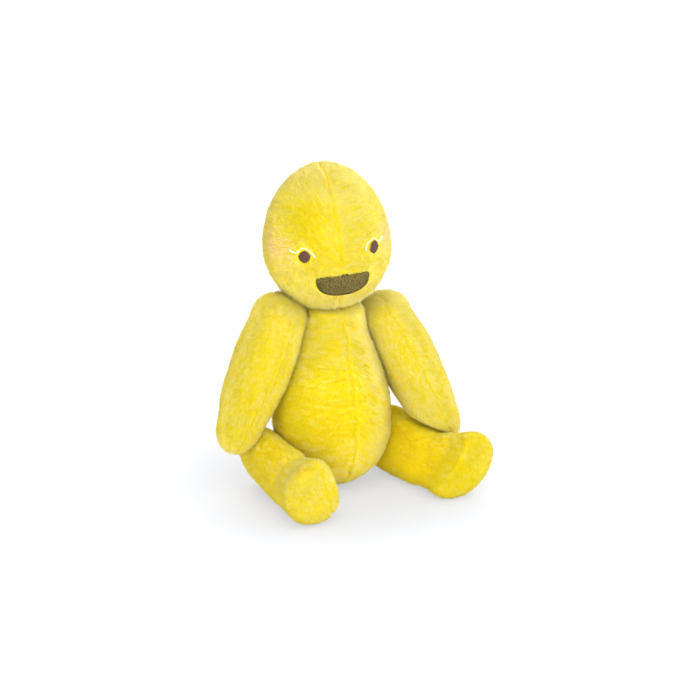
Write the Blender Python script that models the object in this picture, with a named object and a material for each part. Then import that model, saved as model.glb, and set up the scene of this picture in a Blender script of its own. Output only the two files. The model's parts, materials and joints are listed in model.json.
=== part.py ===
"""A sitting plush duck whose head, arms and legs turn on plastic disc joints.

Metres, +Z up. The duck faces -Y and its own left side is +X. The origin is on the floor, in the
flat of the seat, under the middle line of the body.
"""

import math

import bmesh
import bpy
from mathutils import Euler, Matrix, Vector

# Walls and clearances
GAP = 0.0003
FABRIC = 0.0025
FLOOR_CUT = 0.0005
OVERRUN = 0.004
# Room that an arm's pile and a leg's pile take up between them
ARM_CLEARANCE = 0.0020

# Body, from the seat up
BODY_HEIGHT = 0.1215
BODY_HALF_WIDTH = 0.0375
BODY_FRONT_DEPTH = 0.039
BODY_BACK_DEPTH = 0.036
BELLY_HEIGHT = 0.040
BODY_TOP_CAP = 0.008
# Height between the belly's widest ring and the neck, and size of the ring there
BODY_TAPER_SHARES = ((0.0, 1.0), (0.22, 0.985), (0.44, 0.89), (0.66, 0.73), (0.84, 0.61), (1.0, 0.56))
PELLET_DEPTH = 0.014

# Head, an egg with its blunt end down
HEAD_HALF_WIDTH = 0.0397
HEAD_FRONT_DEPTH = 0.0395
HEAD_BACK_DEPTH = 0.0385
HEAD_BELOW = 0.0370
HEAD_ABOVE = 0.0534
CROWN_BLUNTNESS = 1.06
HEAD_TURN = -10.0
HEAD_NOD = 3.0
HEAD_LEAN = -5.5

# Arms, from the shoulder's disc to the tip
ARM_LENGTH = 0.085
ARM_HALF_WIDTH = 0.0200
ARM_HALF_THICKNESS = 0.0190
ARM_BLUNTNESS = 0.95
ARM_TIP_CAP = 0.0200
# Depth of each shoulder's disc below the body's top
SHOULDER_DROP_RIGHT = 0.0195
SHOULDER_DROP_LEFT = 0.0260
ARM_TILT_RIGHT = 21.0
ARM_TILT_LEFT = 20.0
ARM_SWING_RIGHT = 2.0
ARM_SWING_LEFT = 24.0
# Length down the arm, drift outward, half width, half thickness
ARM_SHARES = (
    (0.0, 0.0, 0.93, 0.92),
    (0.25, 0.1, 1.02, 1.02),
    (0.50, 0.45, 1.03, 1.01),
    (0.78, 0.9, 0.94, 0.91),
    (1.0, 1.0, 0.78, 0.76),
)
ARM_DRIFT_RIGHT = 0.0026
ARM_DRIFT_LEFT = 0.0010
# Slope of the flat with which each arm lies on its leg
PRESS_SLOPE_RIGHT = 40.0
PRESS_SLOPE_LEFT = 25.0

# Legs, from the hip's disc to the sole
LEG_LENGTH = 0.0825
LEG_HALF_HEIGHT = 0.0210
LEG_HALF_THICKNESS = 0.0160
SOLE_CAP = 0.0100
SOLE_BLUNTNESS = 0.80
SOLE_LEAN = 18.0
HIP_TILT = 22.0
HIP_HEIGHT = 0.0258
LEG_SPLAY_RIGHT = -2.0
LEG_SPLAY_LEFT = 14.0
HIP_FORWARD_RIGHT = -0.0045
HIP_FORWARD_LEFT = 0.0045
# Length along the leg, rise, lean of the ring, half height, half thickness
LEG_SHARES = (
    (0.0, 0.0, 0.0, 0.98, 0.90),
    (0.30, -0.015, 0.0, 0.96, 0.98),
    (0.54, -0.020, 0.2, 0.93, 1.08),
    (0.78, 0.0, 0.6, 1.00, 1.14),
    (1.0, 0.045, 1.0, 1.17, 1.15),
)

# Share of those rows at which the ankle's crease lies
ANKLE_SHARE = 0.6

# Share of a limb's half thickness that stands on its side of the joint
ARM_SEAT_SHARE = 0.82
LEG_SEAT_SHARE = 0.76
# Depth of the flats that the joints press into the body and the head
NECK_FLAT_DEPTH = 0.0020
ARM_FLAT_DEPTH = 0.0034
LEG_FLAT_DEPTH = 0.0028

# Disc joints
NECK_DISC_RADIUS = 0.0090
ARM_DISC_RADIUS = 0.0065
LEG_DISC_RADIUS = 0.0078
DISC_THICKNESS = 0.0020
STEM_RADIUS = 0.0022
STEM_TAIL = 0.0015
WASHER_RADIUS_SHARE = 0.94
WASHER_THICKNESS = 0.0018
LOCK_RADIUS_SHARE = 0.6
LOCK_THICKNESS = 0.0012
STEM_HOLE_RADIUS = STEM_RADIUS + GAP
ROUND_SIDES = 16

# Face
EYE_HALF_WIDTH = 0.0031
EYE_HALF_HEIGHT = 0.0038
EYE_THICKNESS = 0.0011
EYE_SIDE = 0.0212
EYE_HEIGHT = 0.0422
LASH_RADIUS = 0.00045
# Points of a lash from its outer end, in eye half sizes from the eye's middle
LASH_SHARES = ((-2.5, 0.88), (-1.45, 0.47), (-0.34, 1.28), (0.95, 0.91), (1.76, -0.07))
BILL_HEIGHT = 0.0272
BILL_HALF_WIDTH = 0.0160
BILL_RISE = 0.0030
BILL_DROP = 0.0110
BILL_FELT = 0.0012
BILL_CROWN = 0.0022
BILL_LIP = 0.0010
BILL_TOP_POWER = 0.5
BILL_RIM_POWER = 0.85

# Mesh counts and angles
CREASE_ANGLE = 50.0
STEEPEST_PITCH = 45.0
PITCH_STEPS = 40
BODY_SIDES = 32
HEAD_SIDES = 32
LIMB_SIDES = 20
INNER_SIDES_SHARE = 0.6
CAP_RINGS = 5
HEAD_RINGS = 8
BODY_RINGS = 10
ARM_RINGS = 7
LEG_RINGS = 8
BILL_SIDES = 26
BILL_RINGS = 8
EYE_SIDES = 14
EYE_RINGS = 6
LASH_STEPS = 4


def material(name, colour, roughness=0.9, metallic=0.0):
    made = bpy.data.materials.new(name)
    made.use_nodes = True
    shader = made.node_tree.nodes["Principled BSDF"]
    shader.inputs["Base Color"].default_value = (*colour, 1.0)
    shader.inputs["Roughness"].default_value = roughness
    shader.inputs["Metallic"].default_value = metallic
    return made


def blend_rows(rows, place):
    """A smooth curve through hand-chosen rows, read at a place from 0 to 1 along them."""
    spot = place * (len(rows) - 1)
    first = min(int(spot), len(rows) - 2)
    t = spot - first
    a, b, c, d = (rows[min(max(first + k, 0), len(rows) - 1)] for k in (-1, 0, 1, 2))
    blended = []
    for p, q, r, s in zip(a, b, c, d):
        rise = q + (r - q) * t
        bend = t * (1 - t) * ((1 - t) * (2 * q - p - r) + t * (2 * r - q - s)) / 2
        blended.append(rise + bend)
    return blended


class Ring:
    """One cross-section: its centre along and up, its lean, its half sizes and its drift outward."""

    def __init__(self, along, rise, lean, above, below, thick, drift=0.0):
        self.along = along
        self.rise = rise
        self.lean = lean
        self.above = above
        self.below = below
        self.thick = thick
        self.drift = drift

    def point(self, angle, shift):
        height = math.sin(angle) * (self.above if math.sin(angle) > 0 else self.below)
        side = shift + self.drift + self.thick * math.cos(angle)
        lean = math.radians(self.lean)
        return Vector((side, self.rise + height * math.cos(lean), self.along + height * math.sin(lean)))

    def shrunk(self, share, onward):
        lean = math.radians(self.lean)
        return Ring(
            self.along + onward * math.cos(lean),
            self.rise - onward * math.sin(lean),
            self.lean,
            self.above * share,
            self.below * share,
            self.thick * share,
            self.drift,
        )


def capped(rings, start_cap, end_cap, count, bluntness=1.0, end_bluntness=None):
    """The rings with a quarter ellipse of smaller ones beyond each end, down to a point.

    A bluntness under 1 squares the ends off, and one over 1 sharpens them.
    """
    def cap(ring, length, power):
        found = []
        for k in range(1, count + 1):
            turn = math.pi / 2 * k / count
            share = math.cos(turn) ** power if k < count else 0.0
            found.append(ring.shrunk(share, length * math.sin(turn)))
        return found

    start = cap(rings[0], -start_cap, bluntness)[::-1]
    return start + rings + cap(rings[-1], end_cap, end_bluntness or bluntness)


def loft(rings, sides, shift=0.0):
    """A closed sphere mesh pulled over the rings. Its axes are side, up and along."""
    bm = bmesh.new()
    count = len(rings) - 1
    bmesh.ops.create_uvsphere(bm, u_segments=sides, v_segments=count, radius=1.0)
    for vert in bm.verts:
        polar = math.acos(min(max(-vert.co.z, -1.0), 1.0))
        ring = rings[round(polar / math.pi * count)]
        vert.co = ring.point(math.atan2(vert.co.y, vert.co.x), shift)
    return bm


def set_axes(bm, side, up, along):
    """Turns side, up and along into the piece's own X, Y and Z."""
    turn = Matrix((side, up, along)).transposed().to_4x4()
    bmesh.ops.transform(bm, matrix=turn, verts=bm.verts[:])
    bmesh.ops.recalc_face_normals(bm, faces=bm.faces[:])
    return bm


def cut_flat(bm, point, normal):
    """Takes off what lies beyond a plane and closes the cut with one flat face."""
    parts = bm.verts[:] + bm.edges[:] + bm.faces[:]
    cut = bmesh.ops.bisect_plane(bm, geom=parts, plane_co=point, plane_no=normal, clear_outer=True)
    edges = [part for part in cut["geom_cut"] if isinstance(part, bmesh.types.BMEdge)]
    if edges:
        bmesh.ops.edgeloop_fill(bm, edges=edges)
    bmesh.ops.recalc_face_normals(bm, faces=bm.faces[:])
    return bm


def piece(name, bm, finish, parent=None, cutter=False):
    mesh = bpy.data.meshes.new(name)
    bm.to_mesh(mesh)
    bm.free()
    mesh.shade_smooth()
    mesh.set_sharp_from_angle(angle=math.radians(CREASE_ANGLE))
    made = bpy.data.objects.new(name, mesh)
    bpy.context.scene.collection.objects.link(made)
    made.parent = parent
    if cutter:
        made.hide_render = True
        made.display_type = "WIRE"
    else:
        mesh.materials.append(finish)
    return made


def cut_away(made, cutter):
    knife = made.modifiers.new("cut " + cutter.name, "BOOLEAN")
    knife.operation = "DIFFERENCE"
    knife.object = cutter


def pivot(name, place, turns, parent=None):
    """An empty on a joint's axis, which carries the pieces that turn there."""
    made = bpy.data.objects.new(name, None)
    made.location = place
    made.rotation_euler = Euler([math.radians(turn) for turn in turns], "XYZ")
    made.parent = parent
    bpy.context.scene.collection.objects.link(made)
    bpy.context.view_layer.update()
    return made


FUR = material("plush cover", (0.90, 0.76, 0.09), 0.95)
STUFFING = material("polyester stuffing", (0.92, 0.92, 0.90), 1.0)
PELLET = material("pellet bag cloth", (0.85, 0.84, 0.80), 0.9)
PLASTIC = material("joint plastic", (0.88, 0.88, 0.86), 0.45)
FELT = material("olive felt", (0.21, 0.17, 0.05), 0.95)
EYE_THREAD = material("brown thread", (0.10, 0.05, 0.03), 0.6)
LASH_THREAD = material("white thread", (0.95, 0.93, 0.86), 0.6)

X_AXIS, Y_AXIS, Z_AXIS = Vector((1, 0, 0)), Vector((0, 1, 0)), Vector((0, 0, 1))
LEFT, RIGHT = 1, -1
FLOOR = (Vector((0, 0, 0)), Z_AXIS)


def inner(sides):
    return 2 * round(sides * INNER_SIDES_SHARE / 2)


def body_rings(inset):
    span = BODY_HEIGHT - BODY_TOP_CAP - BELLY_HEIGHT
    rings = []
    for k in range(BODY_RINGS + 1):
        height, size = blend_rows(BODY_TAPER_SHARES, k / BODY_RINGS)
        rings.append(Ring(
            BELLY_HEIGHT + span * height, 0.0, 0.0,
            BODY_BACK_DEPTH * size - inset, BODY_FRONT_DEPTH * size - inset, BODY_HALF_WIDTH * size - inset,
        ))
    return capped(rings, BELLY_HEIGHT + FLOOR_CUT - inset, BODY_TOP_CAP - inset, CAP_RINGS)


def body_blank(inset, sides):
    """The whole body shape, before the floor and the joints flatten it."""
    return set_axes(loft(body_rings(inset), sides), X_AXIS, Y_AXIS, Z_AXIS)


def head_blank(inset, sides):
    """An egg of two half ellipsoids, its lowest point at the origin."""
    ring = Ring(
        HEAD_BELOW, 0.0, 0.0, HEAD_BACK_DEPTH - inset, HEAD_FRONT_DEPTH - inset, HEAD_HALF_WIDTH - inset,
    )
    rings = capped([ring], HEAD_BELOW - inset, HEAD_ABOVE - inset, HEAD_RINGS, 1.0, CROWN_BLUNTNESS)
    return set_axes(loft(rings, sides), X_AXIS, Y_AXIS, Z_AXIS)


def arm_blank(inset, sides, hand):
    reach = ARM_DRIFT_LEFT if hand == LEFT else ARM_DRIFT_RIGHT
    rings = []
    for k in range(ARM_RINGS + 1):
        along, drift, width, thick = blend_rows(ARM_SHARES, k / ARM_RINGS)
        half = ARM_HALF_WIDTH * width - inset
        rings.append(Ring(
            (ARM_LENGTH - ARM_TIP_CAP) * along, 0.0, 0.0,
            half, half, ARM_HALF_THICKNESS * thick - inset, reach * drift,
        ))
    rings = capped(rings, rings[0].above, ARM_TIP_CAP - inset, CAP_RINGS, ARM_BLUNTNESS)
    seat = GAP + ARM_HALF_THICKNESS * ARM_SEAT_SHARE
    bm = set_axes(loft(rings, sides, seat), X_AXIS * hand, -Y_AXIS, -Z_AXIS)
    return cut_flat(bm, X_AXIS * hand * (GAP + inset), -X_AXIS * hand)


def leg_blank(inset, sides, hand):
    rings = []
    for k in range(LEG_RINGS + 1):
        along, rise, lean, height, thick = blend_rows(LEG_SHARES, k / LEG_RINGS)
        half = LEG_HALF_HEIGHT * height - inset
        rings.append(Ring(
            (LEG_LENGTH - SOLE_CAP) * along, LEG_LENGTH * rise, SOLE_LEAN * lean,
            half, half, LEG_HALF_THICKNESS * thick - inset,
        ))
    rings = capped(rings, rings[0].above, SOLE_CAP - inset, CAP_RINGS, SOLE_BLUNTNESS)
    seat = GAP + LEG_HALF_THICKNESS * LEG_SEAT_SHARE
    bm = set_axes(loft(rings, sides, seat), X_AXIS * hand, Z_AXIS, -Y_AXIS)
    return cut_flat(bm, X_AXIS * hand * (GAP + inset), -X_AXIS * hand)


def far_point(bm, direction):
    return max((vert.co for vert in bm.verts), key=lambda co: co.dot(direction)).copy()


def seat_on_body(normal, depth, height=None):
    """Where the flat of a joint lies on the body: at a height, or on the body's middle line."""
    bm = body_blank(0.0, 4 * BODY_SIDES)
    offset = far_point(bm, normal).dot(normal) - depth
    bm.free()
    if height is None:
        return Z_AXIS * (offset / normal.z)
    level = Vector((normal.x, normal.y, 0.0))
    return level * ((offset - height * normal.z) / level.length_squared) + Z_AXIS * height


def turned(profile, axis):
    """Spins a closed profile of distance and radius about an axis through the origin."""
    bm = bmesh.new()
    verts = [bm.verts.new((radius, 0.0, distance)) for distance, radius in profile]
    edges = [bm.edges.new((a, b)) for a, b in zip(verts, verts[1:])]
    if profile[0][1] > 0.0:
        edges.append(bm.edges.new((verts[-1], verts[0])))
    bmesh.ops.spin(
        bm, geom=verts + edges, axis=Z_AXIS, cent=(0, 0, 0), steps=ROUND_SIDES, angle=2 * math.pi, use_merge=True,
    )
    bmesh.ops.remove_doubles(bm, verts=bm.verts[:], dist=GAP / 100)
    across = axis.orthogonal().normalized()
    return set_axes(bm, across, axis.cross(across), axis)


def rod(radius, start, end, axis):
    return turned([(end, 0.0), (end, radius), (start, radius), (start, 0.0)], axis)


def flat_ring(bore, radius, start, thickness, axis):
    end = start - thickness
    return turned([(start, bore), (start, radius), (end, radius), (end, bore)], axis)


WASHER_START = -(FABRIC + GAP)
LOCK_START = WASHER_START - WASHER_THICKNESS - GAP
STEM_END = LOCK_START - LOCK_THICKNESS - STEM_TAIL
DISC_START = FABRIC + 2 * GAP


class DiscJoint:
    """A joint's place and axis on the body, its turning empty, and its hardware."""

    def __init__(self, name, place, turns, swing, local_axis, radius):
        self.name = name
        self.radius = radius
        self.washer_radius = radius * WASHER_RADIUS_SHARE
        self.local = local_axis
        self.seat = pivot(name + "_seat", place, turns)
        self.turn = pivot(name + "_pivot", (0, 0, 0), swing, self.seat)
        self.place = Vector(place)
        self.axis = (self.seat.matrix_world.to_3x3() @ local_axis).normalized()

    def hardware(self):
        stem = [
            (DISC_START + DISC_THICKNESS, 0.0), (DISC_START + DISC_THICKNESS, self.radius),
            (DISC_START, self.radius), (DISC_START, STEM_RADIUS), (STEM_END, STEM_RADIUS), (STEM_END, 0.0),
        ]
        piece(self.name + "_disc", turned(stem, self.local), PLASTIC, self.turn)
        washer = flat_ring(STEM_HOLE_RADIUS, self.washer_radius, WASHER_START, WASHER_THICKNESS, self.local)
        piece(self.name + "_washer", washer, PLASTIC, self.seat)
        lock = flat_ring(STEM_HOLE_RADIUS, self.radius * LOCK_RADIUS_SHARE, LOCK_START, LOCK_THICKNESS, self.local)
        piece(self.name + "_lock", lock, PLASTIC, self.turn)

    def stem_cutter(self):
        hole = rod(STEM_HOLE_RADIUS, -OVERRUN, OVERRUN, self.local)
        return piece(self.name + "_stem_cutter", hole, None, self.seat, True)

    def disc_cutter(self):
        room = rod(self.radius + GAP, -OVERRUN, DISC_START + DISC_THICKNESS + GAP, self.local)
        return piece(self.name + "_disc_cutter", room, None, self.seat, True)

    def washer_cutter(self):
        room = rod(self.washer_radius + GAP, STEM_END - GAP, OVERRUN, self.local)
        return piece(self.name + "_washer_cutter", room, None, self.seat, True)

    def wall_cutter(self):
        """The room that the washer needs where the wall round it curves inward."""
        room = rod(self.washer_radius + GAP, STEM_END - GAP, WASHER_START + GAP / 2, self.local)
        return piece(self.name + "_wall_cutter", room, None, self.seat, True)


def pressed_flat(bm, frame, point, normal, inset):
    """Cuts a piece off flat where it would reach past a plane on the body, or its wall's inside."""
    back = frame.inverted()
    return cut_flat(bm, back @ (point + normal * inset), (back.to_3x3() @ -normal).normalized())


def limb(joint, blank, name, press, seam=None):
    """A limb's cover and stuffing on its joint's turning empty, pressed flat by what it rests on.

    The press is a point and a direction on the body. A seam is the name of the cover beyond it,
    a point and a direction, and parts the cover there.
    """
    def layer(full_name, finish, inset, cuts=()):
        shape = blank(inset, inner(LIMB_SIDES) if inset else LIMB_SIDES)
        pressed_flat(shape, joint.turn.matrix_world, *press, inset)
        for point, normal in cuts:
            cut_flat(shape, point, normal)
        return piece(full_name, shape, finish, joint.turn, finish is None)

    hollow = layer(name + "_hollow_cutter", None, FABRIC)
    filling = layer(name + "_stuffing", STUFFING, FABRIC + GAP)
    near_cuts = []
    if seam:
        far_name, point, onward = seam
        near_cuts = [(point - onward * GAP / 2, onward)]
        cut_away(layer(far_name, FUR, 0.0, [(point + onward * GAP / 2, -onward)]), hollow)
    cover = layer(name + "_cover", FUR, 0.0, near_cuts)
    cut_away(cover, hollow)
    cut_away(cover, joint.stem_cutter())
    cut_away(filling, joint.disc_cutter())
    joint.hardware()


def ankle():
    """The point and direction of the crease that parts a leg from its foot."""
    along, rise, lean = blend_rows(LEG_SHARES, ANKLE_SHARE)[:3]
    tilt = math.radians(SOLE_LEAN * lean)
    point = Vector((0.0, -(LEG_LENGTH - SOLE_CAP) * along, LEG_LENGTH * rise))
    return point, Vector((0.0, -math.cos(tilt), -math.sin(tilt)))


def lowest(points, frame):
    return min((frame @ point).z for point in points)


def pitch_to_floor(points, place, tilt, splay):
    """The pitch at which a leg's underside presses into the floor by its flat's depth."""
    high, low = -STEEPEST_PITCH, STEEPEST_PITCH
    for _ in range(PITCH_STEPS):
        middle = (high + low) / 2
        turns = Euler([math.radians(turn) for turn in (middle, tilt, splay)], "XYZ")
        frame = Matrix.Translation(place) @ turns.to_matrix().to_4x4()
        if lowest(points, frame) > -FLOOR_CUT:
            high = middle
        else:
            low = middle
    return high


def side_normal(turns, hand):
    return Euler([math.radians(turn) for turn in turns], "XYZ").to_matrix() @ (X_AXIS * hand)


def leg_joint(name, hand, splay, forward):
    turns = (0.0, HIP_TILT * hand, splay * hand)
    ahead = Euler([math.radians(turn) for turn in turns], "XYZ").to_matrix() @ -Y_AXIS
    place = seat_on_body(side_normal(turns, hand), LEG_FLAT_DEPTH, HIP_HEIGHT) + ahead * forward
    blank = leg_blank(0.0, LIMB_SIDES, hand)
    points = [vert.co.copy() for vert in blank.verts]
    blank.free()
    pitch = pitch_to_floor(points, place, turns[1], turns[2])
    return DiscJoint(name, place, turns, (pitch, 0.0, 0.0), X_AXIS * hand, LEG_DISC_RADIUS)


def arm_joint(name, hand, drop, tilt, swing):
    turns = (0.0, -tilt * hand, 0.0)
    place = seat_on_body(side_normal(turns, hand), ARM_FLAT_DEPTH, BODY_HEIGHT - drop)
    return DiscJoint(name, place, turns, (-swing, 0.0, 0.0), X_AXIS * hand, ARM_DISC_RADIUS)


def neck_joint():
    turns = (HEAD_NOD, HEAD_LEAN, 0.0)
    normal = Euler([math.radians(turn) for turn in turns], "XYZ").to_matrix() @ Z_AXIS
    place = seat_on_body(normal, NECK_FLAT_DEPTH)
    return DiscJoint("neck", place, turns, (0.0, 0.0, HEAD_TURN), Z_AXIS, NECK_DISC_RADIUS)


def body_shape(joints, inset, sides):
    bm = pressed_flat(body_blank(inset, sides), Matrix.Identity(4), *FLOOR, inset)
    for joint in joints:
        cut_flat(bm, joint.place - joint.axis * inset, joint.axis)
    return bm


def body(joints):
    hollow = piece("body_hollow_cutter", body_shape(joints, FABRIC, inner(BODY_SIDES)), None, None, True)
    cover = piece("body_cover", body_shape(joints, 0.0, BODY_SIDES), FUR)
    cut_away(cover, hollow)
    for joint in joints:
        cut_away(cover, bpy.data.objects[joint.name + "_stem_cutter"])
        cut_away(cover, joint.wall_cutter())
    level = FABRIC + GAP + PELLET_DEPTH
    filling = cut_flat(body_shape(joints, FABRIC + GAP, inner(BODY_SIDES)), Z_AXIS * (level + GAP), -Z_AXIS)
    stuffing = piece("body_stuffing", filling, STUFFING)
    bag = cut_flat(body_shape(joints, FABRIC + GAP, inner(BODY_SIDES)), Z_AXIS * level, Z_AXIS)
    pellets = piece("seat_pellet_bag", bag, PELLET)
    for joint in joints:
        room = joint.washer_cutter()
        cut_away(stuffing, room)
        if (joint.place + joint.axis * STEM_END).z - joint.washer_radius < level:
            cut_away(pellets, room)


HEAD_BASE = GAP - NECK_FLAT_DEPTH
HEAD_WIDEST = HEAD_BASE + HEAD_BELOW


def head_shape(inset, sides):
    bm = head_blank(inset, sides)
    bmesh.ops.translate(bm, verts=bm.verts[:], vec=Z_AXIS * HEAD_BASE)
    return cut_flat(bm, Z_AXIS * (GAP + inset), -Z_AXIS)


def head(joint):
    hollow = piece("head_hollow_cutter", head_shape(FABRIC, inner(HEAD_SIDES)), None, joint.turn, True)
    cover = piece("head_cover", head_shape(0.0, HEAD_SIDES), FUR, joint.turn)
    cut_away(cover, hollow)
    cut_away(cover, joint.stem_cutter())
    stuffing = piece("head_stuffing", head_shape(FABRIC + GAP, inner(HEAD_SIDES)), STUFFING, joint.turn)
    cut_away(stuffing, joint.disc_cutter())
    joint.hardware()


def on_face(x, z, out):
    """The point at this side and height on the front of the head, moved out along its normal."""
    rise = z - HEAD_WIDEST
    length = HEAD_ABOVE if rise > 0.0 else HEAD_BELOW
    left = 1.0 - (x / HEAD_HALF_WIDTH) ** 2 - (rise / length) ** 2
    y = -HEAD_FRONT_DEPTH * math.sqrt(max(left, 0.0))
    normal = Vector((x / HEAD_HALF_WIDTH ** 2, y / HEAD_FRONT_DEPTH ** 2, rise / length ** 2))
    return Vector((x, y, z)) + normal.normalized() * out


def face_patch(outline, start, thickness, crown, sides, rings):
    """A pad that lies on the face. Its outline gives the rim's point for each angle."""
    bm = bmesh.new()
    bmesh.ops.create_uvsphere(bm, u_segments=sides, v_segments=rings, radius=1.0)
    for vert in bm.verts:
        reach = min(math.hypot(vert.co.x, vert.co.y), 1.0)
        angle = math.atan2(vert.co.y, vert.co.x)
        x, z = outline(angle, reach)
        level = (1.0 + math.copysign(math.sqrt(abs(vert.co.z)), vert.co.z)) / 2
        out = start + level * (thickness + crown * max(vert.co.z, 0.0))
        vert.co = on_face(x, z, out)
    if bm.calc_volume(signed=True) < 0.0:
        bmesh.ops.reverse_faces(bm, faces=bm.faces[:])
    return bm


def eye(joint, hand):
    side = "left" if hand == LEFT else "right"

    def outline(angle, reach):
        return (
            hand * EYE_SIDE + EYE_HALF_WIDTH * reach * math.cos(angle),
            EYE_HEIGHT + EYE_HALF_HEIGHT * reach * math.sin(angle),
        )

    piece("eye_" + side, face_patch(outline, GAP, EYE_THICKNESS, 0.0, EYE_SIDES, EYE_RINGS), EYE_THREAD, joint.turn)
    route = bpy.data.curves.new("lash_" + side, "CURVE")
    route.dimensions = "3D"
    route.bevel_depth = LASH_RADIUS
    route.bevel_resolution = 1
    route.use_fill_caps = True
    count = LASH_STEPS * (len(LASH_SHARES) - 1) + 1
    line = route.splines.new("POLY")
    line.points.add(count - 1)
    for k, point in enumerate(line.points):
        across, rise = blend_rows(LASH_SHARES, k / (count - 1))
        x = hand * (EYE_SIDE - across * EYE_HALF_WIDTH)
        place = on_face(x, EYE_HEIGHT + rise * EYE_HALF_HEIGHT, GAP + LASH_RADIUS)
        point.co = (*place, 1.0)
    made = bpy.data.objects.new("lash_" + side, route)
    route.materials.append(LASH_THREAD)
    made.parent = joint.turn
    bpy.context.scene.collection.objects.link(made)


def bill(joint):
    """Two felt pieces: the lower one shows as a lip under the upper one."""
    def outline_of(lip):
        def outline(angle, reach):
            rising = math.sin(angle) > 0.0
            power = BILL_TOP_POWER if rising else BILL_RIM_POWER
            x = math.copysign(abs(math.cos(angle)) ** power, math.cos(angle))
            z = math.copysign(abs(math.sin(angle)) ** power, math.sin(angle))
            height = BILL_RISE if rising else BILL_DROP - lip
            return (BILL_HALF_WIDTH - lip / 2) * reach * x, BILL_HEIGHT + height * reach * z
        return outline

    lower = face_patch(outline_of(0.0), GAP, BILL_FELT, 0.0, BILL_SIDES, BILL_RINGS)
    piece("lower_bill", lower, FELT, joint.turn)
    start = 2 * GAP + BILL_FELT
    upper = face_patch(outline_of(BILL_LIP), start, BILL_FELT, BILL_CROWN, BILL_SIDES, BILL_RINGS)
    piece("upper_bill", upper, FELT, joint.turn)


def leg_press(hip, hand, slope):
    """The plane over the upper leg on which the arm of that side lies."""
    tilt = math.radians(slope)
    normal = Vector((hand * math.sin(tilt), 0.0, math.cos(tilt)))
    upper = cut_flat(leg_blank(0.0, LIMB_SIDES, hand), *ankle())
    frame = hip.turn.matrix_world
    top = frame @ far_point(upper, frame.to_3x3().inverted() @ normal)
    upper.free()
    return top + normal * ARM_CLEARANCE, normal


def side_limbs(hand, side, slope, arm_numbers, leg_numbers):
    """The arm and the leg of one side, and their joints."""
    shoulder = arm_joint("shoulder_" + side, hand, *arm_numbers)
    hip = leg_joint("hip_" + side, hand, *leg_numbers)
    press = leg_press(hip, hand, slope)
    limb(shoulder, lambda inset, sides: arm_blank(inset, sides, hand), "arm_" + side, press)
    seam = ("foot_" + side + "_cover", *ankle())
    limb(hip, lambda inset, sides: leg_blank(inset, sides, hand), "leg_" + side, FLOOR, seam)
    return [shoulder, hip]


def main():
    neck = neck_joint()
    left_arm = (SHOULDER_DROP_LEFT, ARM_TILT_LEFT, ARM_SWING_LEFT)
    right_arm = (SHOULDER_DROP_RIGHT, ARM_TILT_RIGHT, ARM_SWING_RIGHT)
    joints = [neck]
    left_leg = (LEG_SPLAY_LEFT, HIP_FORWARD_LEFT)
    right_leg = (LEG_SPLAY_RIGHT, HIP_FORWARD_RIGHT)
    joints += side_limbs(LEFT, "left", PRESS_SLOPE_LEFT, left_arm, left_leg)
    joints += side_limbs(RIGHT, "right", PRESS_SLOPE_RIGHT, right_arm, right_leg)
    head(neck)
    body(joints)
    for hand in (LEFT, RIGHT):
        eye(neck, hand)
    bill(neck)


for leftover in list(bpy.data.objects):
    bpy.data.objects.remove(leftover)
main()
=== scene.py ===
"""The looks of a sitting plush duck: pile, seams, felt bill, stitched eyes, floor, lamps and camera.

Every length is in metres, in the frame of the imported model. The duck faces -Y and its left is +X.
"""

import json
import math

import bmesh
import bpy
from mathutils import Euler, Matrix, Vector, noise
from mathutils.bvhtree import BVHTree


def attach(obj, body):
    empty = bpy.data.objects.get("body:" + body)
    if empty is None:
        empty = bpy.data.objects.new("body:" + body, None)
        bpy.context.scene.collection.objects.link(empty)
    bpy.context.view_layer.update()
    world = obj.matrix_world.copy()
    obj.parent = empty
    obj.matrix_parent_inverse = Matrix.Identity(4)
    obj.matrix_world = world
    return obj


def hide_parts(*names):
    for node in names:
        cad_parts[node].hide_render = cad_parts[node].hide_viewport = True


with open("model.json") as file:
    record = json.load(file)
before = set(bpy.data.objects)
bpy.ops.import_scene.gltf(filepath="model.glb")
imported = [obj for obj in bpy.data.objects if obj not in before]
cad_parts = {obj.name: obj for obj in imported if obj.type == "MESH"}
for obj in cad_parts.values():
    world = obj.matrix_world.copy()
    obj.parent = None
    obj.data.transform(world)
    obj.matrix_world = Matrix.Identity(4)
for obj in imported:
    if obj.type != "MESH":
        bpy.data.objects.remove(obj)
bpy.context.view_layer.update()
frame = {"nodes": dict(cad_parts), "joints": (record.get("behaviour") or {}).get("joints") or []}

# Camera, from the photograph's view
CAMERA_AZIMUTH = -24.0
CAMERA_HEIGHT_ANGLE = 17.0
CAMERA_DISTANCE = 1.3
PIXEL = 0.00064
IMAGE_SIDE = 700
ORIGIN_PIXEL = (331.5, 480.0)
SENSOR_MM = 36.0

# Pile: how deep its skin lies in the cover, then the strands' lengths, radius, number and pulls
SKIN_INSET = 0.0016
PILE_LENGTH = 0.0024
LENGTH_SHARES = (0.72, 1.12)
LONG_PILE = 0.75
STRAND_RADIUS = 0.00022
STRAND_SIDES = 3
STRAND_MERGE = 0.001
STRANDS_PER_AREA = 5.2e6
BARE_PILE = 0.03
FULL_PILE = 0.28
THIN_DENSITY = 0.15
CLUMP_PULL = 0.85
SWIRL_PULL = 0.40
SWIRL_SCALE = 0.22
STRAY_PULL = 0.16
ROOT_NORMAL_SHARE = 1.6
GROOM_FIELDS = ("grain", "comb", "root", "pile", "density", "pale", "lift", "blush", "clump")

# Seeds of the felt's and lashes' noise, of the draws for each strand, and from one part's pile to the next
NOISE_SEED = 179
LENGTH_SEED = 3
TONE_SEED = 5
BLUSH_SEED = 7
LEVEL_SEED = 9
SEED_STEP = 10

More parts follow.
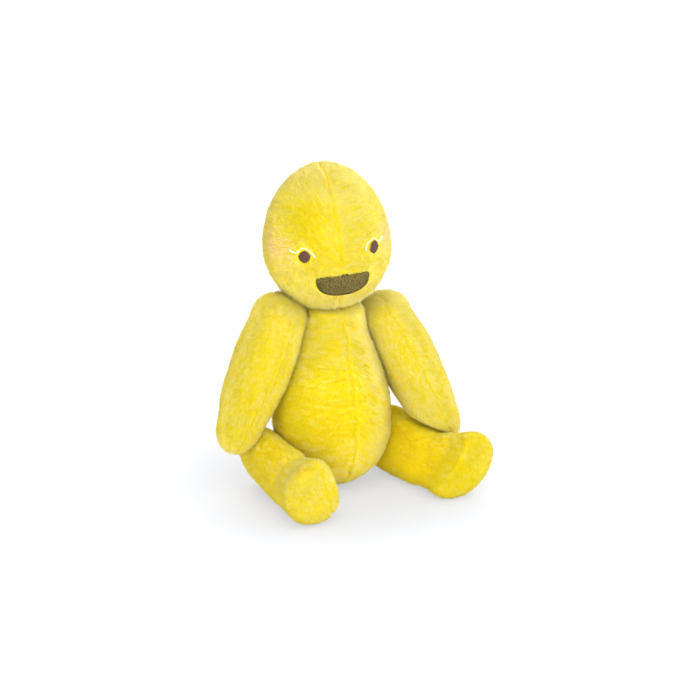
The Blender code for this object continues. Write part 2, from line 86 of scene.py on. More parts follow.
# Pile that another part or the floor presses short, and painted shade: pile that another part lies near is
# painted darker
PRESSED_PILE = 0.38
PRESSED_PAINTED_SHADE = 0.3
NEIGHBOUR_NEAR = 0.0006
NEIGHBOUR_REACH = 0.0028
FLOOR_GAP = 0.0007
FLOOR_PILE = 0.0030

# Shades of the pile: 0 is dark and 1 is pale
MIDDLE_SHADE = 0.5
TUFT_TONE = 1.7
PATCH_TONE = 0.7
STRAND_TONE = 0.16

# Colour chart of the strands: half a strand's width on it, the span of the shades at one level, the step to
# the next level, which holds the same colours painted brighter as painted light, how many steps there are,
# and the place of the blush
CHART_STEP = 0.006
CHART_SPAN = 0.26
CHART_PAINTED_LIGHT_STEP = 0.31
CHART_LEVELS = 2
CHART_BLUSH = 0.96
LEVEL_DRAW = 0.99

# Painted light: pile is painted brighter, up to the edge's amount, the further it faces away from this way
# to the camera and the front lamps, from the first facing to the second
PAINTED_LIGHT_WAY = (-0.35, -0.85, 0.40)
PAINTED_LIGHT_EDGE = 0.7
PAINTED_LIGHT_FACING = (0.92, 0.50)

# Sizes of the pile's tufts, and how strongly they gather
GRAIN_PLAIN = 0.0025
GRAIN_STREAK = 0.0036
GRAIN_THIN = 0.0016
GRAIN_LONG = 0.0070
GRAIN_SHORT = 0.0021
GRAIN_LONG_LIMB = 0.0034
GRAIN_SHORT_LIMB = 0.0021
GRAIN_SLANT = 38.0
HEAD_CLUMP = 1.8
BODY_CLUMP = 1.9

# Head's pile. A flow is the angle of the pile's way, upward from the duck's left. Heights are shares of the
# head. A fade, here and below, is an amount, the place where it is none and the place where it is whole
FLOWS = {"left": 4.0, "right": 125.0}
FLOW_HEIGHTS = (0.12, 0.62)
FLOW_COMB = 0.50
PARTING_WIDTH = 0.0025
CHIN_SPREAD = 0.15
CHIN_HANG = 0.45
CHIN_LONG = (LONG_PILE, 0.24, 0.08)
# Painted light: the head's pile is painted brighter lower down, toward the chin
CHIN_PAINTED_LIGHT = (0.6, 0.30, 0.08)
CHIN_PALE = (0.15, 0.30, 0.05)
HEAD_PALE = 0.20
CROWN_PALE = (0.45, 0.55, 0.98)
TEMPLE_DARK = (0.06, 0.4, 0.6)
TEMPLE_SIDE = (0.002, 0.008)
HEAD_SEAM_START = (0.02, 0.14)

# Body's pile, with heights as shares of the body
BODY_COMB = (0.22, -0.60)
# Painted light: the body's pile is painted brighter lower down, most at the belly's bottom
WAIST_PAINTED_LIGHT = (0.35, 0.75, 0.60)
BELLY_PAINTED_LIGHT = (0.65, 0.40, 0.15)
BODY_PALE = 0.20
CHEST_PALE = (0.45, 0.45, 0.80)
LEFT_PALE = (0.45, 0.003, 0.018)
LEFT_HEIGHTS = (0.1, 0.3)
BELLY_PALE = (0.36, 0.45, 0.15)
BODY_SEAM_START = (0.04, 0.12)

# Arms' pile, with places down from the shoulder
ARM_COMB = 0.55
# Painted light: the arm's pile is painted a little brighter near the shoulder
ARM_PAINTED_LIGHT = (0.15, 0.06, 0.02)
ARM_PALE = {"left": 0.74, "right": 0.56}
ARM_TIP_PALE = (0.16, 0.045, 0.08)
ARM_TOP_PALE = (0.16, 0.02, -0.01)
SHOULDER_TOP = (-0.002, -0.012)
SHOULDER_COMB = (-0.5, 0.0, -0.9)
SHOULDER_LONGER = 1.5

# Legs' pile, with places along from the ankle's crease or the toe's rim, and up from the leg's middle
FOOT_START = (-0.022, 0.012)
TOE_START = (-0.010, 0.004)
LEG_COMB = (0.0, 0.1, 0.50)
TOE_COMB = (0.0, -0.40, 0.15)
LEG_PALE = {"left": 0.14, "right": 0.36}
FOOT_PALE = 0.02
INSTEP_PALE = (0.24, 0.004, 0.016)
TOE_RIM_PALE = 0.10
TOE_RIM_REACH = 0.010
# Painted light: the leg's pile is painted brighter all over but for the toe, which fades from the first
# place to the second
TOE_WITHOUT_PAINTED_LIGHT = (-0.010, 0.001)
LEG_UPPER = (-0.004, 0.010)
LEG_UNDER = (0.0, -0.008)

# Seams: their groove, the tufts beside it and how they wander
SEAM_DEPTH = 0.0011
SEAM_HALF_WIDTH = 0.00080
SEAM_SHORT = 0.70
# Painted shade: how much darker the pile is painted on the seam's line, as its groove's shade
SEAM_DARK = 0.55
SEAM_LAY = 0.22
SEAM_COMB_REACH = 0.0020
SEAM_TUFT = 0.12
SEAM_TUFT_LONGER = 0.15
SEAM_TUFT_PLACE = 0.0019
SEAM_TUFT_WIDTH = 0.0011
SEAM_WANDER = 0.0016
SEAM_WANDER_LENGTH = 0.008
LIMB_SEAM_LAY = 0.25
ARM_SEAM_SHARE = 0.6
LEG_SEAM_TUFT = 0.15
LEG_SEAM_UNDER = 0.7
TOE_SEAM_SHIFT = 0.0055

# Rows of noise that the seams wander by, at the back and at the front, and that frays the bill's fringe
HEAD_SEAM_ROWS = (5.0, 1.0)
BODY_SEAM_ROWS = (6.0, 2.0)
ARM_SEAM_ROWS = (7.0, 3.0)
LEG_SEAM_ROW = 4.0
FRINGE_ROW = 11.0

# Toe's rounded rim, the ankle's crease and the stuffing's lumps
RIM_REACH = 0.016
RIM_ROUNDS = 220
RIM_SMOOTHING = 0.5
RIM_SWELL = 0.0022
CREASE_DEPTH = 0.0012
CREASE_HALF_WIDTH = 0.0060
CREASE_UNDER = 0.35
CREASE_SHORT = 0.35
LUMP_DEPTH = 0.0006
LUMP_SWELL = LUMP_DEPTH / 3
LUMP_LENGTH = 0.014

# Body, as in the CAD model
BODY_HEIGHT = 0.1215
BODY_HALF_WIDTH = 0.0375
BODY_FRONT_DEPTH = 0.039
BODY_BACK_DEPTH = 0.036
BELLY_HEIGHT = 0.040
BODY_TOP_CAP = 0.008
BODY_TAPER_SHARES = ((0.0, 1.0), (0.22, 0.985), (0.44, 0.89), (0.66, 0.73), (0.84, 0.61), (1.0, 0.56))

# Head, as in the CAD model
HEAD_HALF_WIDTH = 0.0397
HEAD_FRONT_DEPTH = 0.0395
HEAD_BACK_DEPTH = 0.0385
HEAD_BELOW = 0.0370
HEAD_ABOVE = 0.0534
CROWN_BLUNTNESS = 1.06
HEAD_TURNS = (3.0, -5.5, 0.0)
HEAD_TURN = -10.0
HEAD_BASE = -0.0017
HEAD_WIDEST = HEAD_BASE + HEAD_BELOW

# Arms, as in the CAD model
ARM_LENGTH = 0.085
ARM_HALF_WIDTH = 0.0200
ARM_HALF_THICKNESS = 0.0190
ARM_BLUNTNESS = 0.95
ARM_TIP_CAP = 0.0200
ARM_SHARES = (
    (0.0, 0.0, 0.93, 0.92),
    (0.25, 0.1, 1.02, 1.02),
    (0.50, 0.45, 1.03, 1.01),
    (0.78, 0.9, 0.94, 0.91),
    (1.0, 1.0, 0.78, 0.76),
)
ARM_SEAT_SHARE = 0.82
ARM_POSES = {"left": (20.0, 24.0, 0.0010), "right": (21.0, 2.0, 0.0026)}

# Legs, as in the CAD model
LEG_LENGTH = 0.0825
LEG_HALF_HEIGHT = 0.0210
LEG_HALF_THICKNESS = 0.0160
SOLE_CAP = 0.0100
SOLE_BLUNTNESS = 0.80
SOLE_LEAN = 18.0
LEG_SHARES = (
    (0.0, 0.0, 0.0, 0.98, 0.90),
    (0.30, -0.015, 0.0, 0.96, 0.98),
    (0.54, -0.020, 0.2, 0.93, 1.08),
    (0.78, 0.0, 0.6, 1.00, 1.14),
    (1.0, 0.045, 1.0, 1.17, 1.15),
)
LEG_SEAT_SHARE = 0.76
LEG_POSES = {"left": (22.0, 14.0), "right": (22.0, -2.0)}
LEG_PITCH = 1.44
JOINT_GAP = 0.0003

# Where the arms are pressed flat on the legs, as in the CAD model
ARM_CLEARANCE = 0.0020
ARM_SETTLE = 0.0010
FLAT_SOFTNESS = 0.0018
EXPONENT_LIMIT = 40.0
ANKLE_SHARE = 0.6
PRESS_SLOPES = {"left": 25.0, "right": 40.0}

# Face, as in the CAD model
CAD_GAP = 0.0003
EYE_HALF_WIDTH = 0.0031
EYE_HALF_HEIGHT = 0.0038
EYE_THICKNESS = 0.0011
EYE_SIDE = 0.0212
EYE_HEIGHT = 0.0422
EYE_OVAL = (EYE_SIDE, EYE_HEIGHT, EYE_HALF_WIDTH, EYE_HALF_HEIGHT)
LASH_SHARES = ((-2.5, 0.88), (-1.45, 0.47), (-0.34, 1.28), (0.95, 0.91), (1.76, -0.07))
BILL_HEIGHT = 0.0272
BILL_HALF_WIDTH = 0.0160
BILL_RISE = 0.0030
BILL_DROP = 0.0110
BILL_FELT = 0.0012
BILL_CROWN = 0.0022
BILL_LIP = 0.0010
BILL_TOP_POWER = 0.5
BILL_RIM_POWER = 0.85

# Pile round the face's pads. An oval is its middle's side and height, and half its width and height
PAD_RISE = 0.0015
PAD_RISE_REACH = 0.0040
BILL_PROBES = 96
BILL_PILE_START = -0.0004
BILL_PILE_WHOLE = 0.0010
BILL_FRINGE = 0.0015
FRINGE_LENGTH = 0.0024
FRINGE_EVEN = 0.5
FRINGE_RAGGED = 0.8
FRINGE_LONGER = 0.5
FRINGE_RISE = 0.0012
FRINGE_REACH = 0.0030
FRINGE_WIDTH = BILL_HALF_WIDTH * 1.1
OVER_BILL_COMB = -0.85
OVER_BILL_REACH = 0.005
UNDER_BILL = -0.001
UNDER_BILL_COMB = (0.3, -0.5)
UNDER_BILL_REACH = 0.004
EYE_PILE = 0.62
EYE_BARE = -0.0004
EYE_REACH = 0.0028
EYE_COMB = 0.5
BLUSH_SHARE = 0.65
BLUSH_OVAL = (0.0330, 0.0445, 0.0065, 0.0075)
BROW_DARK = 0.60
BROW_OVAL = (-0.017, 0.062, 0.012, 0.017)

# Threads of the eyes, over a low pad
THREAD_STEPS = 8
THREAD_END = 0.55
THREAD_BEVEL = 2
THREAD_RADIUS = 0.00034
THREAD_RAGGED = 0.30
RAGGED_STEP = 1.7
RAGGED_ROW = 9.0
THREAD_SLANT = 0.08
THREAD_LEVEL = 0.55
THREAD_CROWN = 0.0007
CROWN_ENDS = 0.98
CROWN_OUTER = 0.9
EYE_THREADS = 15
EYE_THREADS_TALL = 0.93
EYE_PAD_SHARE = 0.84
EYE_PAD_LEVEL = 0.8

# Stitches of the lashes
LASH_RADIUS = 0.00046
LASH_STITCHES = 9
LASH_OVERLAP = 0.22
LASH_LIFT = -0.0004
LASH_ARCH = 0.0003
LASH_WOBBLE = 0.00055
LASH_WOBBLE_LENGTH = 0.0014

# Felt of the bill: the painted shade along its rim below its top, the painted shadow in the slit over its
# lip, and its roughness
BILL_RIM_SHARE = 0.70
BILL_RIM_PAINTED_SHADE = 0.7
BILL_SLIT = (0.0016, -0.0084, 0.0036, 0.0005)
FELT_ROUGH = 0.00018
FELT_GRAIN = 0.0011

# Fillings
FILLING_SHRINK = 0.0020
FILLING_LUMP = 0.0012
FILLING_LENGTH = 0.006

# Colours, from 0 to 255. On the strands' chart each level goes from dark to pale, and the blush is last. The
# second and third levels are the first one painted brighter, as painted light
PILE_ROOT_STOPS = (
    (0.0, (218, 193, 0)), (0.10, (218, 196, 8)), (0.26, (219, 201, 52)),
    (0.31, (236, 207, 0)), (0.41, (236, 210, 10)), (0.57, (237, 216, 62)),
    (0.62, (252, 217, 0)), (0.72, (252, 220, 14)), (0.88, (253, 229, 74)), (0.95, (252, 208, 120)),
)
PILE_TIP_STOPS = (
    (0.0, (224, 205, 6)), (0.09, (224, 208, 42)), (0.26, (226, 215, 124)),
    (0.31, (240, 218, 8)), (0.40, (240, 221, 46)), (0.57, (242, 228, 136)),
    (0.62, (255, 233, 12)), (0.71, (255, 235, 56)), (0.88, (255, 242, 156)), (0.95, (255, 222, 176)),
)
SHEEN_TINT = (255, 240, 150)
# Colour of the painted shade and painted shadow on the bill's felt
FELT_PAINTED_SHADE = (46, 42, 20)

# Finishes
TIP_POWER = 0.8
PILE_ROUGHNESS = 0.75
PILE_SPECULAR = 0.15
SHEEN_WEIGHT = 0.18
SHEEN_ROUGHNESS = 0.5
MOTTLE_DARK = 0.32
MOTTLE_LIGHT = 0.68
MATT_SPECULAR = 0.2
BUMP_STRENGTH = 0.8

# Floor and lamps. A lamp is its place, its width and its watts
FLOOR_SIZE = 3.0
FLOOR_SEEN = 0.28
FLOOR_BOUNCE = 0.95
FLOOR_GLOW_NEAR = 0.53
FLOOR_GLOW_FAR = 1.0
FLOOR_GLOW_REACH = (0.05, 0.26)
FLOOR_GLOW_COLOUR = (0.94, 0.965, 1.03)
WORLD_LEVEL = 0.96
AIM = (0.0, 0.0, 0.08)
LAMPS = (
    ("overhead", (-0.35, -1.0, 1.15), 1.5, 12.6),
    ("front fill", (-0.5, -1.3, 0.20), 1.0, 12.6),
    ("side fill", (1.3, -0.4, 0.30), 1.4, 7.0),
    ("back fill", (0.6, 1.3, 0.9), 1.5, 17.0),
)

# Mesh counts
SKIN_SIDES = 160
CAP_RINGS = 26
HEAD_CAP_RINGS = 56
SPAN_RINGS = 70
PAD_SIDES = 96
PAD_RINGS = 32

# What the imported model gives, and which covers each skin stands for
X_AXIS, Y_AXIS, Z_AXIS = Vector((1, 0, 0)), Vector((0, 1, 0)), Vector((0, 0, 1))
HANDS = {"left": 1, "right": -1}
JOINTS = {joint["name"]: joint for joint in frame["joints"]}
CAD_OBJECTS = frame["nodes"]
COVERS = {
    "body": ("body_cover",), "head": ("head_cover",),
    "arm_left": ("arm_left_cover",), "arm_right": ("arm_right_cover",),
    "leg_left": ("leg_left_cover", "foot_left_cover"), "leg_right": ("leg_right_cover", "foot_right_cover"),
}


def smooth_step(low, high, value):
    share = min(max((value - low) / (high - low), 0.0), 1.0)
    return share * share * (3.0 - 2.0 * share)


def faded(fade, value):
    """The part of a fade's amount that has come in at this value."""
    amount, none, whole = fade
    return amount * smooth_step(none, whole, value)


def bump(distance, reach):
    """1 at no distance, falling to 0 over a few reaches."""
    return math.exp(-(distance / reach) ** 2)


def oval_reach(x, z, oval):
    """How far out a point lies from an oval's middle, where 1 is the oval's edge."""
    side, height, half_width, half_height = oval
    return math.hypot((x - side) / half_width, (z - height) / half_height)


def turn(angles):
    return Euler([math.radians(angle) for angle in angles], "XYZ").to_matrix().to_4x4()


def blend_rows(rows, place):
    """A smooth curve through given rows, read at a place from 0 to 1 along them."""
    spot = place * (len(rows) - 1)
    first = min(int(spot), len(rows) - 2)
    t = spot - first
    a, b, c, d = (rows[min(max(first + k, 0), len(rows) - 1)] for k in (-1, 0, 1, 2))
    blended = []
    for p, q, r, s in zip(a, b, c, d):
        rise = q + (r - q) * t
        bend = t * (1 - t) * ((1 - t) * (2 * q - p - r) + t * (2 * r - q - s)) / 2
        blended.append(rise + bend)
    return blended


class Ring:
    """One cross-section: its centre along and up, its lean, its half sizes and its drift outward."""

    def __init__(self, along, rise, lean, above, below, thick, drift=0.0):
        self.along = along
        self.rise = rise
        self.lean = lean
        self.above = above
        self.below = below
        self.thick = thick
        self.drift = drift

    def point(self, angle, shift):
        height = math.sin(angle) * (self.above if math.sin(angle) > 0 else self.below)
        side = shift + self.drift + self.thick * math.cos(angle)
        lean = math.radians(self.lean)
        return Vector((side, self.rise + height * math.cos(lean), self.along + height * math.sin(lean)))

    def shrunk(self, share, onward):
        lean = math.radians(self.lean)
        return Ring(
            self.along + onward * math.cos(lean), self.rise - onward * math.sin(lean), self.lean,
            self.above * share, self.below * share, self.thick * share, self.drift,
        )


def capped(rings, start_cap, end_cap, bluntness=1.0, end_bluntness=None, count=CAP_RINGS):
    """The rings with a quarter ellipse of smaller ones beyond each end, down to a point."""
    def cap(ring, length, power):
        found = []
        for k in range(1, count + 1):
            angle = math.pi / 2 * k / count
            share = math.cos(angle) ** power if k < count else 0.0
            found.append(ring.shrunk(share, length * math.sin(angle)))
        return found

    start = cap(rings[0], -start_cap, bluntness)[::-1]
    return start + rings + cap(rings[-1], end_cap, end_bluntness or bluntness)


def loft(rings, shift, axes, place):
    """A closed sphere mesh pulled over the rings, with a texture map round and along it."""
    bm = bmesh.new()
    count = len(rings) - 1
    bm.loops.layers.uv.new("OFBake")
    bmesh.ops.create_uvsphere(bm, u_segments=SKIN_SIDES, v_segments=count, radius=1.0, calc_uvs=True)
    for vert in bm.verts:
        polar = math.acos(min(max(-vert.co.z, -1.0), 1.0))
        ring = rings[round(polar / math.pi * count)]
        vert.co = ring.point(math.atan2(vert.co.y, vert.co.x), shift)
    frame_turn = Matrix(axes).transposed().to_4x4()
    bmesh.ops.transform(bm, matrix=place @ frame_turn, verts=bm.verts[:])
    bmesh.ops.recalc_face_normals(bm, faces=bm.faces[:])
    return bm


def body_rings(inset):
    span = BODY_HEIGHT - BODY_TOP_CAP - BELLY_HEIGHT
    rings = []
    for k in range(SPAN_RINGS + 1):
        height, size = blend_rows(BODY_TAPER_SHARES, k / SPAN_RINGS)
        rings.append(Ring(
            BELLY_HEIGHT + span * height, 0.0, 0.0,
            BODY_BACK_DEPTH * size - inset, BODY_FRONT_DEPTH * size - inset, BODY_HALF_WIDTH * size - inset,
        ))
    return capped(rings, BELLY_HEIGHT - inset, BODY_TOP_CAP - inset)


def head_rings(inset):
    ring = Ring(
        HEAD_BELOW, 0.0, 0.0, HEAD_BACK_DEPTH - inset, HEAD_FRONT_DEPTH - inset, HEAD_HALF_WIDTH - inset,
    )
    rings = capped([ring], HEAD_BELOW - inset, HEAD_ABOVE - inset, 1.0, CROWN_BLUNTNESS, HEAD_CAP_RINGS)
    for ring in rings:
        ring.along += HEAD_BASE
    return rings


def arm_rings(inset, reach):
    rings = []
    for k in range(SPAN_RINGS + 1):
        along, drift, width, thick = blend_rows(ARM_SHARES, k / SPAN_RINGS)
        half = ARM_HALF_WIDTH * width - inset
        rings.append(Ring(
            (ARM_LENGTH - ARM_TIP_CAP) * along, 0.0, 0.0,
            half, half, ARM_HALF_THICKNESS * thick - inset, reach * drift,
        ))
    return capped(rings, rings[0].above, ARM_TIP_CAP - inset, ARM_BLUNTNESS)


def leg_rings(inset):
    rings = []
    for k in range(SPAN_RINGS + 1):
        along, rise, lean, height, thick = blend_rows(LEG_SHARES, k / SPAN_RINGS)
        half = LEG_HALF_HEIGHT * height - inset
        rings.append(Ring(
            (LEG_LENGTH - SOLE_CAP) * along, LEG_LENGTH * rise, SOLE_LEAN * lean,
            half, half, LEG_HALF_THICKNESS * thick - inset,
        ))
    return capped(rings, rings[0].above, SOLE_CAP - inset, SOLE_BLUNTNESS)


class Part:
    """A stuffed part of the toy: its rings, its joint's place and its own side, up and along axes."""

    def __init__(self, name, body, rings_of, joint, turns, swing, axes, shift, away=None):
        self.name = name
        self.side = name.partition("_")[2]
        self.body = body
        self.rings_of = rings_of
        self.seat = Matrix.Translation(JOINTS[joint]["pos_m"]) @ turn(turns) if joint else Matrix.Identity(4)
        self.place = self.seat @ turn(swing)
        self.axes = axes
        self.shift = shift
        self.to_world = self.place @ Matrix(axes).transposed().to_4x4()
        self.to_local = self.to_world.inverted()
        self.planes = [(Vector((0, 0, FLOOR_GAP)), Z_AXIS, 0.0)]
        if joint:
            self.outward = (self.seat.to_3x3() @ away).normalized()
            softness = 0.0 if rings_of is head_rings else FLAT_SOFTNESS
            self.planes.append((self.seat.translation + self.outward * JOINT_GAP, self.outward, softness))

    def blank(self, inset):
        return loft(self.rings_of(inset), self.shift, self.axes, self.place)


def arm_part(side):
    hand = HANDS[side]
    tilt, swing, reach = ARM_POSES[side]
    return Part(
        "arm_" + side, "arm_" + side, lambda inset: arm_rings(inset, reach), f"shoulder_{side}_swing",
        (0.0, -tilt * hand, 0.0), (-swing, 0.0, 0.0), (X_AXIS * hand, -Y_AXIS, -Z_AXIS),
        JOINT_GAP + ARM_HALF_THICKNESS * ARM_SEAT_SHARE, X_AXIS * hand,
    )


def leg_part(side):
    hand = HANDS[side]
    tilt, splay = LEG_POSES[side]
    return Part(
        "leg_" + side, "leg_" + side, leg_rings, f"hip_{side}_swing",
        (0.0, tilt * hand, splay * hand), (LEG_PITCH, 0.0, 0.0), (X_AXIS * hand, Z_AXIS, -Y_AXIS),
        JOINT_GAP + LEG_HALF_THICKNESS * LEG_SEAT_SHARE, X_AXIS * hand,
    )


BODY = Part("body", "torso", body_rings, None, (0, 0, 0), (0, 0, 0), (X_AXIS, Y_AXIS, Z_AXIS), 0.0)
HEAD = Part(
    "head", "head", head_rings, "neck_turn", HEAD_TURNS, (0, 0, HEAD_TURN),
    (X_AXIS, Y_AXIS, Z_AXIS), 0.0, Z_AXIS,
)
ARMS = [arm_part(side) for side in HANDS]
LEGS = [leg_part(side) for side in HANDS]
PARTS = [BODY, HEAD, *ARMS, *LEGS]


def add_planes():
    """Each part is held on its own side of the flats that its neighbours press into it."""
    for part in [HEAD, *ARMS, *LEGS]:
        place, normal = part.planes[1][:2]
        BODY.planes.append((place - normal * 2 * JOINT_GAP, -normal, 0.0))
    for arm, leg in zip(ARMS, LEGS):
        slope = math.radians(PRESS_SLOPES[arm.side])
        normal = Vector((HANDS[arm.side] * math.sin(slope), 0.0, math.cos(slope)))
        upper = leg.blank(0.0)
        tops = [vert.co.dot(normal) for vert in upper.verts if (leg.to_local @ vert.co).z < ankle()[0]]
        upper.free()
        arm.planes.append((normal * (max(tops) + ARM_CLEARANCE - ARM_SETTLE), normal, 0.0))


def ankle():
    """Place along the leg, rise and lean of the ring at the ankle's crease."""
    along, rise, lean = blend_rows(LEG_SHARES, ANKLE_SHARE)[:3]
    return (LEG_LENGTH - SOLE_CAP) * along, LEG_LENGTH * rise, math.radians(SOLE_LEAN * lean)


def past_ring(at, along, rise, lean):
    """Distance in front of the plane of a leaning ring of a leg."""
    return (at.z - along) * math.cos(lean) - (at.y - rise) * math.sin(lean)


def on_face(x, z, out):
    """The point at this side and height on the front of the head, moved out along its normal."""
    rise = z - HEAD_WIDEST
    length = HEAD_ABOVE if rise > 0.0 else HEAD_BELOW
    left = 1.0 - (x / HEAD_HALF_WIDTH) ** 2 - (rise / length) ** 2
    y = -HEAD_FRONT_DEPTH * math.sqrt(max(left, 0.0))
    normal = Vector((x / HEAD_HALF_WIDTH ** 2, y / HEAD_FRONT_DEPTH ** 2, rise / length ** 2))
    return Vector((x, y, z)) + normal.normalized() * out


def bill_edge(angle, lip):
    """The bill's rim, from its middle, at an angle round it."""
    rising = math.sin(angle) > 0.0
    power = BILL_TOP_POWER if rising else BILL_RIM_POWER
    x = math.copysign(abs(math.cos(angle)) ** power, math.cos(angle))
    z = math.copysign(abs(math.sin(angle)) ** power, math.sin(angle))
    height = BILL_RISE if rising else BILL_DROP - lip
    return (BILL_HALF_WIDTH - lip / 2) * x, height * z


def past_bill(at):
    """How far a point of the face lies outside the bill's rim, or inside it where that is less than 0."""
    x, z = at.x, at.z - BILL_HEIGHT
    nearest = math.inf
    for k in range(BILL_PROBES):
        edge_x, edge_z = bill_edge(2 * math.pi * k / BILL_PROBES, 0.0)
        nearest = min(nearest, math.hypot(x - edge_x, z - edge_z))
    height = BILL_RISE if z > 0.0 else BILL_DROP
    power = 2.0 / (BILL_TOP_POWER if z > 0.0 else BILL_RIM_POWER)
    inside = abs(x / BILL_HALF_WIDTH) ** power + abs(z / height) ** power < 1.0
    return -nearest if inside else nearest


def past_eye(at):
    """How far a point of the face lies outside the nearer eye."""
    return (oval_reach(abs(at.x), at.z, EYE_OVAL) - 1.0) * EYE_HALF_WIDTH


class Groom:
    """How the pile lies at one point of a skin, in the part's own axes."""

    def __init__(self, at):
        self.comb = Vector((0, 0, 0))
        self.grain = Vector(at) / GRAIN_PLAIN
        self.pile = 1.0
        self.pale = MIDDLE_SHADE
        self.blush = 0.0
        # How much painted light the pile gets: it is painted brighter where it gets less light
        self.lift = 0.0
        self.sink = 0.0
        self.clump = 1.0

    def seam(self, distance, tuft=SEAM_TUFT, lay=SEAM_LAY, share=1.0):
        """A sewn line: the pile parts sideways from it, is short on it and pale beside it. On it the pile
        gets painted shade, as the groove's shade, and no painted light.
        """
        line = bump(distance, SEAM_HALF_WIDTH) * share
        beside = bump(abs(distance) - SEAM_TUFT_PLACE, SEAM_TUFT_WIDTH) * share
        self.comb += X_AXIS * (math.copysign(lay * share, distance) * bump(distance, SEAM_COMB_REACH))
        self.pile *= 1.0 - SEAM_SHORT * line
        self.pile *= 1.0 + SEAM_TUFT_LONGER * beside
        self.lift *= 1.0 - line
        self.pale += tuft * beside - SEAM_DARK * line
        self.sink += SEAM_DEPTH * line


def streaks(at, flow):
    """Tuft coordinates that are long in the way that the pile flows."""
    run = at.x * math.cos(flow) + at.z * math.sin(flow)
    rise = at.z * math.cos(flow) - at.x * math.sin(flow)
    return Vector((run / GRAIN_STREAK, at.y / GRAIN_STREAK, rise / GRAIN_THIN))


def wander(place, row):
    """How far a seam strays sideways at a place along it."""
    return SEAM_WANDER * noise.noise(Vector((place / SEAM_WANDER_LENGTH, row, 0.0)))


def groom_face(groom, at, side):
    """Round the bill and the eyes the pile rises, is short and lies away, and the cheeks blush."""
    groom.blush = BLUSH_SHARE * bump(oval_reach(abs(at.x), at.z, BLUSH_OVAL), 1.0)
    bill = past_bill(at)
    eye = past_eye(at)
    groom.sink -= PAD_RISE * (1.0 - smooth_step(0.0, PAD_RISE_REACH, min(bill, eye)))
    above = at.z - BILL_HEIGHT
    top_edge = bump(above - BILL_RISE, FRINGE_REACH) * bump(at.x, FRINGE_WIDTH)
    ragged = FRINGE_EVEN + FRINGE_RAGGED * noise.noise(Vector((at.x / FRINGE_LENGTH, FRINGE_ROW, 0.0)))
    fringe = BILL_FRINGE * top_edge * ragged
    groom.pile *= smooth_step(BILL_PILE_START - fringe, BILL_PILE_WHOLE - fringe, bill)
    groom.pile *= 1.0 + FRINGE_LONGER * top_edge
    groom.sink -= FRINGE_RISE * top_edge
    groom.pile *= EYE_PILE + (1.0 - EYE_PILE) * smooth_step(0.0, EYE_REACH, eye) if eye > EYE_BARE else 0.0
    if above > UNDER_BILL:
        groom.comb += Vector((0.0, 0.0, OVER_BILL_COMB)) * bump(bill, OVER_BILL_REACH)
    else:
        outward, hang = UNDER_BILL_COMB
        groom.comb += Vector((side * outward, 0.0, hang)) * bump(bill, UNDER_BILL_REACH)
    away = Vector((at.x - side * EYE_SIDE, 0.0, at.z - EYE_HEIGHT))
    groom.comb += away.normalized() * EYE_COMB * bump(max(eye, 0.0), EYE_REACH)


def groom_head(at):
    groom = Groom(at)
    front = at.y < 0.0
    side = math.copysign(1.0, at.x)
    height = (at.z - HEAD_BASE) / (HEAD_BELOW + HEAD_ABOVE)
    flow = math.radians(FLOWS["left" if at.x > 0.0 else "right"])
    above = smooth_step(*FLOW_HEIGHTS, height)
    parting = smooth_step(0.0, PARTING_WIDTH, abs(at.x))
    groom.comb = Vector((math.cos(flow) * parting, 0.0, math.sin(flow))) * FLOW_COMB * above
    groom.comb += Vector((side * CHIN_SPREAD * parting, 0.0, -CHIN_HANG)) * (1.0 - above)
    groom.grain = streaks(at, flow)
    groom.pile = 1.0 + faded(CHIN_LONG, height)
    groom.clump = HEAD_CLUMP
    # Painted light, brighter lower down the head
    groom.lift = faded(CHIN_PAINTED_LIGHT, height)
    seam_start = smooth_step(*HEAD_SEAM_START, height)
    groom.seam(at.x - wander(at.z, HEAD_SEAM_ROWS[front]), share=seam_start)
    groom.pale += HEAD_PALE + faded(CROWN_PALE, height) + faded(CHIN_PALE, height)
    groom.pale -= faded(TEMPLE_DARK, height) * smooth_step(*TEMPLE_SIDE, at.x) * front
    groom.pale -= BROW_DARK * bump(oval_reach(at.x, at.z, BROW_OVAL), 1.0) * front
    if front:
        groom_face(groom, at, side)
    return groom


def groom_body(at):
    groom = Groom(at)
    front = at.y < 0.0
    height = at.z / BODY_HEIGHT
    outward, hang = BODY_COMB
    groom.comb = Vector((math.copysign(outward, at.x), 0.0, hang))
    slant = math.radians(GRAIN_SLANT if at.x > 0.0 else 0.0) * front
    run = at.x * math.cos(slant) - at.z * math.sin(slant)
    rise = at.x * math.sin(slant) + at.z * math.cos(slant)
    groom.grain = Vector((run / GRAIN_LONG, at.y / GRAIN_LONG, rise / GRAIN_SHORT))
    groom.clump = BODY_CLUMP
    # Painted light on the lower body and the belly's bottom
    groom.lift = faded(WAIST_PAINTED_LIGHT, height) + faded(BELLY_PAINTED_LIGHT, height)
    groom.pale = BODY_PALE + faded(CHEST_PALE, height)
    groom.pale += faded(LEFT_PALE, at.x) * smooth_step(*LEFT_HEIGHTS, height) * front
    groom.pale += faded(BELLY_PALE, height)
    seam_start = smooth_step(*BODY_SEAM_START, height)
    groom.seam(at.x - wander(at.z, BODY_SEAM_ROWS[front]), share=seam_start)
    return groom


def limb_grain(at):
    return Vector((at.x / GRAIN_SHORT_LIMB, at.y / GRAIN_SHORT_LIMB, at.z / GRAIN_LONG_LIMB))


